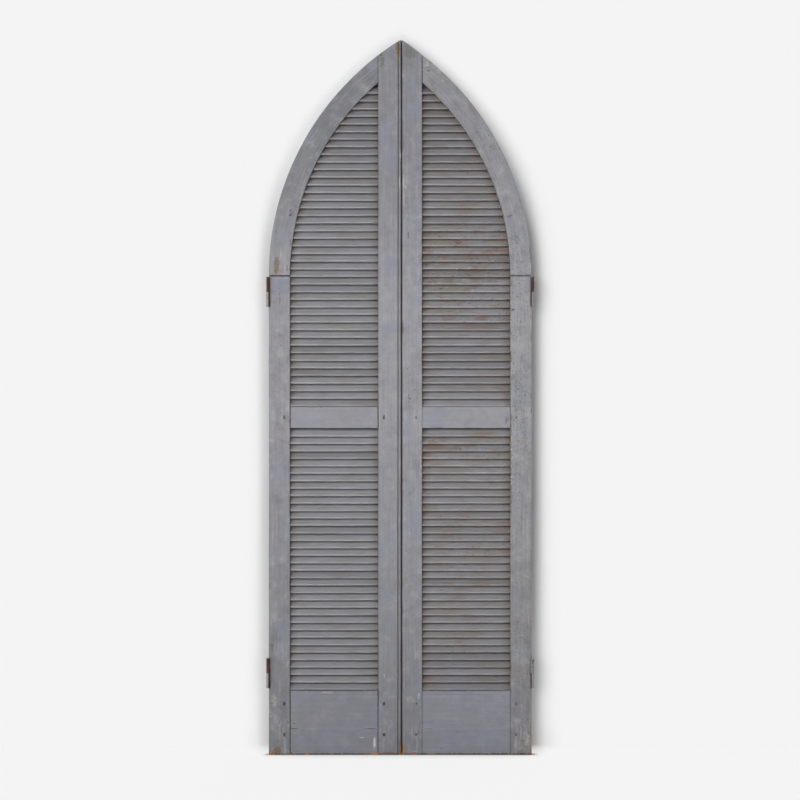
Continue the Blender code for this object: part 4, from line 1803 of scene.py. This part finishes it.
@dataclass
class HingeIrons:
    """Leaves and pins of the hinges: the solids' shapes with sharp edges broken and round parts smooth."""

    nodes: dict[str, bpy.types.Object]
    sharp: float = math.radians(50)
    smooth: float = math.radians(40)
    flat: float = math.radians(1)
    break_edge: float = 0.0003
    weld: float = 0.00001

    def build(self) -> None:
        """Refine every leaf and pin and give it to the body that carries it."""
        finishes = {
            "hinge_leaf": HINGE_IRON.dress(),
            "right_lower_hinge_leaf": GREYED_IRON.dress(),
            "jamb_leaf": JAMB_IRON.dress(),
            "hinge_pin": PIN_STEEL.dress(),
        }
        for name, node in self.nodes.items():
            fitting = [finish for word, finish in finishes.items() if name.endswith(word)]
            if not fitting:
                continue
            piece = stand(f"{name}_iron", self._refined(node))
            piece.data.materials.clear()
            piece.data.materials.append(fitting[-1])
            on_door = name.endswith("hinge_leaf")
            body = f"{name.split('_')[0]}_door" if on_door else "jamb_hinge_halves"
            hand_over(piece, body, "pin_steel" if name.endswith("pin") else "leaf_iron", name)

    def _refined(self, node: bpy.types.Object) -> bpy.types.Mesh:
        """Copy a solid's mesh in place, join its flat faces and break its sharp edges.

        Args:
            node: The solid.

        Returns:
            The mesh.
        """
        mesh = node.data.copy()
        mesh.transform(node.matrix_world)
        shape = bmesh.new()
        shape.from_mesh(mesh)
        bmesh.ops.remove_doubles(shape, verts=shape.verts, dist=self.weld)
        bmesh.ops.dissolve_limit(shape, angle_limit=self.flat, verts=shape.verts, edges=shape.edges)
        keen = [edge for edge in shape.edges if edge.calc_face_angle(0.0) > self.sharp]
        bmesh.ops.bevel(
            shape,
            geom=keen,
            offset=self.break_edge,
            segments=2,
            affect="EDGES",
            profile=0.5,
            clamp_overlap=True,
        )
        for edge in shape.edges:
            edge.smooth = edge.calc_face_angle(0.0) < self.smooth
        for face in shape.faces:
            face.smooth = True
        shape.to_mesh(mesh)
        shape.free()
        return mesh


@dataclass
class ScrewSet:
    """Slotted wood screws in the hinge leaves of one door."""

    side: Side
    seed: int
    slot_width: float = 0.0009
    slot_depth: float = 0.0008
    sides: int = 20

    def build(self) -> None:
        """Grow the screws and give them to the door."""
        name = f"{self.side.prefix}_hinge_screws"
        graph = GeometryGraph(
            name + "_tree",
            {
                "Head Radius": HINGE.screw_head,
                "Head Height": HINGE.thickness,
                "Shank Radius": HINGE.screw_shank,
                "Length": HINGE.screw_length,
                "Slot Width": self.slot_width,
                "Slot Depth": self.slot_depth,
                "Seed": self.seed,
                "Finish": SCREW_STEEL.dress(),
            },
        )
        spin = graph.vector(0.0, self.side.value * math.pi / 2, 0.0)
        turned = graph.add(
            "FunctionNodeRotateEuler",
            {"rotation_type": "EULER", "space": "LOCAL"},
            {"Rotation": spin, "Rotate By": graph.vector(0.0, 0.0, graph.chance(math.pi / 2, 1))},
        )
        screws = graph.add(
            "GeometryNodeInstanceOnPoints",
            inputs={"Points": graph.given("Places"), "Instance": self._screw(graph), "Rotation": turned},
        )
        real = graph.add("GeometryNodeRealizeInstances", inputs={"Geometry": screws})
        places, nodes = [], []
        for level, height in HINGE.levels.items():
            for number, (y, z) in enumerate(HINGE.screws(height), 1):
                places.append((self.side.value * SIZES.half_width, y, z))
                nodes.append(f"{self.side.prefix}_{level}_hinge_screw_{number}")
        piece = graph.grow(name, real, places)
        hand_over(piece, self.side.body, "screw_steel", *nodes)

    def _screw(self, graph: GeometryGraph) -> Value:
        """One screw along -Z: a countersunk head with a slot, and a tapered shank.

        Args:
            graph: Tree of the screws.

        Returns:
            The screw, with the face of its head at the origin.
        """
        head_height, length = graph.given("Head Height"), graph.given("Length")
        head = graph.add(
            "GeometryNodeMeshCone",
            inputs={
                "Vertices": self.sides,
                "Radius Top": graph.given("Head Radius"),
                "Radius Bottom": graph.given("Shank Radius"),
                "Depth": head_height,
            },
        )
        head = graph.move(head, Offset=graph.vector(0.0, 0.0, head_height * -1.0))
        wide, deep = graph.given("Head Radius") * 3.0, graph.given("Slot Depth") * 2.0
        cutter = graph.add(
            "GeometryNodeMeshCube", inputs={"Size": graph.vector(wide, graph.given("Slot Width"), deep)}
        )
        slotted = graph.add(
            "GeometryNodeMeshBoolean", {"operation": "DIFFERENCE"}, {"Mesh 1": head, "Mesh 2": cutter}
        )
        shank = graph.add(
            "GeometryNodeMeshCone",
            inputs={
                "Vertices": self.sides // 2,
                "Radius Top": graph.given("Shank Radius"),
                "Radius Bottom": 0.0,
                "Depth": length - head_height,
            },
        )
        shank = graph.move(shank, Offset=graph.vector(0.0, 0.0, length * -1.0))
        joined = graph.add("GeometryNodeJoinGeometry", inputs={"Geometry": slotted})
        graph.tree.links.new(shank.socket, joined.socket.node.inputs[0])
        return joined


def main() -> None:
    """Build the stage and both doors in order."""
    logging.basicConfig(level=logging.INFO, format="%(message)s")
    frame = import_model()
    Studio().build()
    DoorFrame(
        Side.LEFT,
        LEFT_HINGE_STILE,
        LEFT_MEETING_STILE,
        LEFT_ARCH,
        LEFT_RAIL,
        meeting_edge=-0.003,
        bead=Bead(),
        seed=100,
        seam_ease=0.0018,
        peak_lift=0.0,
    ).build()
    DoorFrame(
        Side.RIGHT,
        RIGHT_HINGE_STILE,
        RIGHT_MEETING_STILE,
        RIGHT_ARCH,
        RIGHT_RAIL,
        meeting_edge=0.007,
        bead=None,
        seed=200,
        seam_ease=0.0008,
        peak_lift=0.004,
    ).build()
    LouverBank(Side.LEFT, LEFT_LOUVER, seed=11).build()
    LouverBank(Side.RIGHT, RIGHT_LOUVER, seed=23).build()
    PegSet(Side.LEFT, paint_share=0.2, swell=1.6, seed=4).build()
    PegSet(Side.RIGHT, paint_share=0.6, swell=1.15, seed=6).build()
    for side in Side:
        ScrewSet(side, seed=9 + side.value).build()
    HingeIrons(frame["nodes"]).build()


if __name__ == "__main__":
    main()
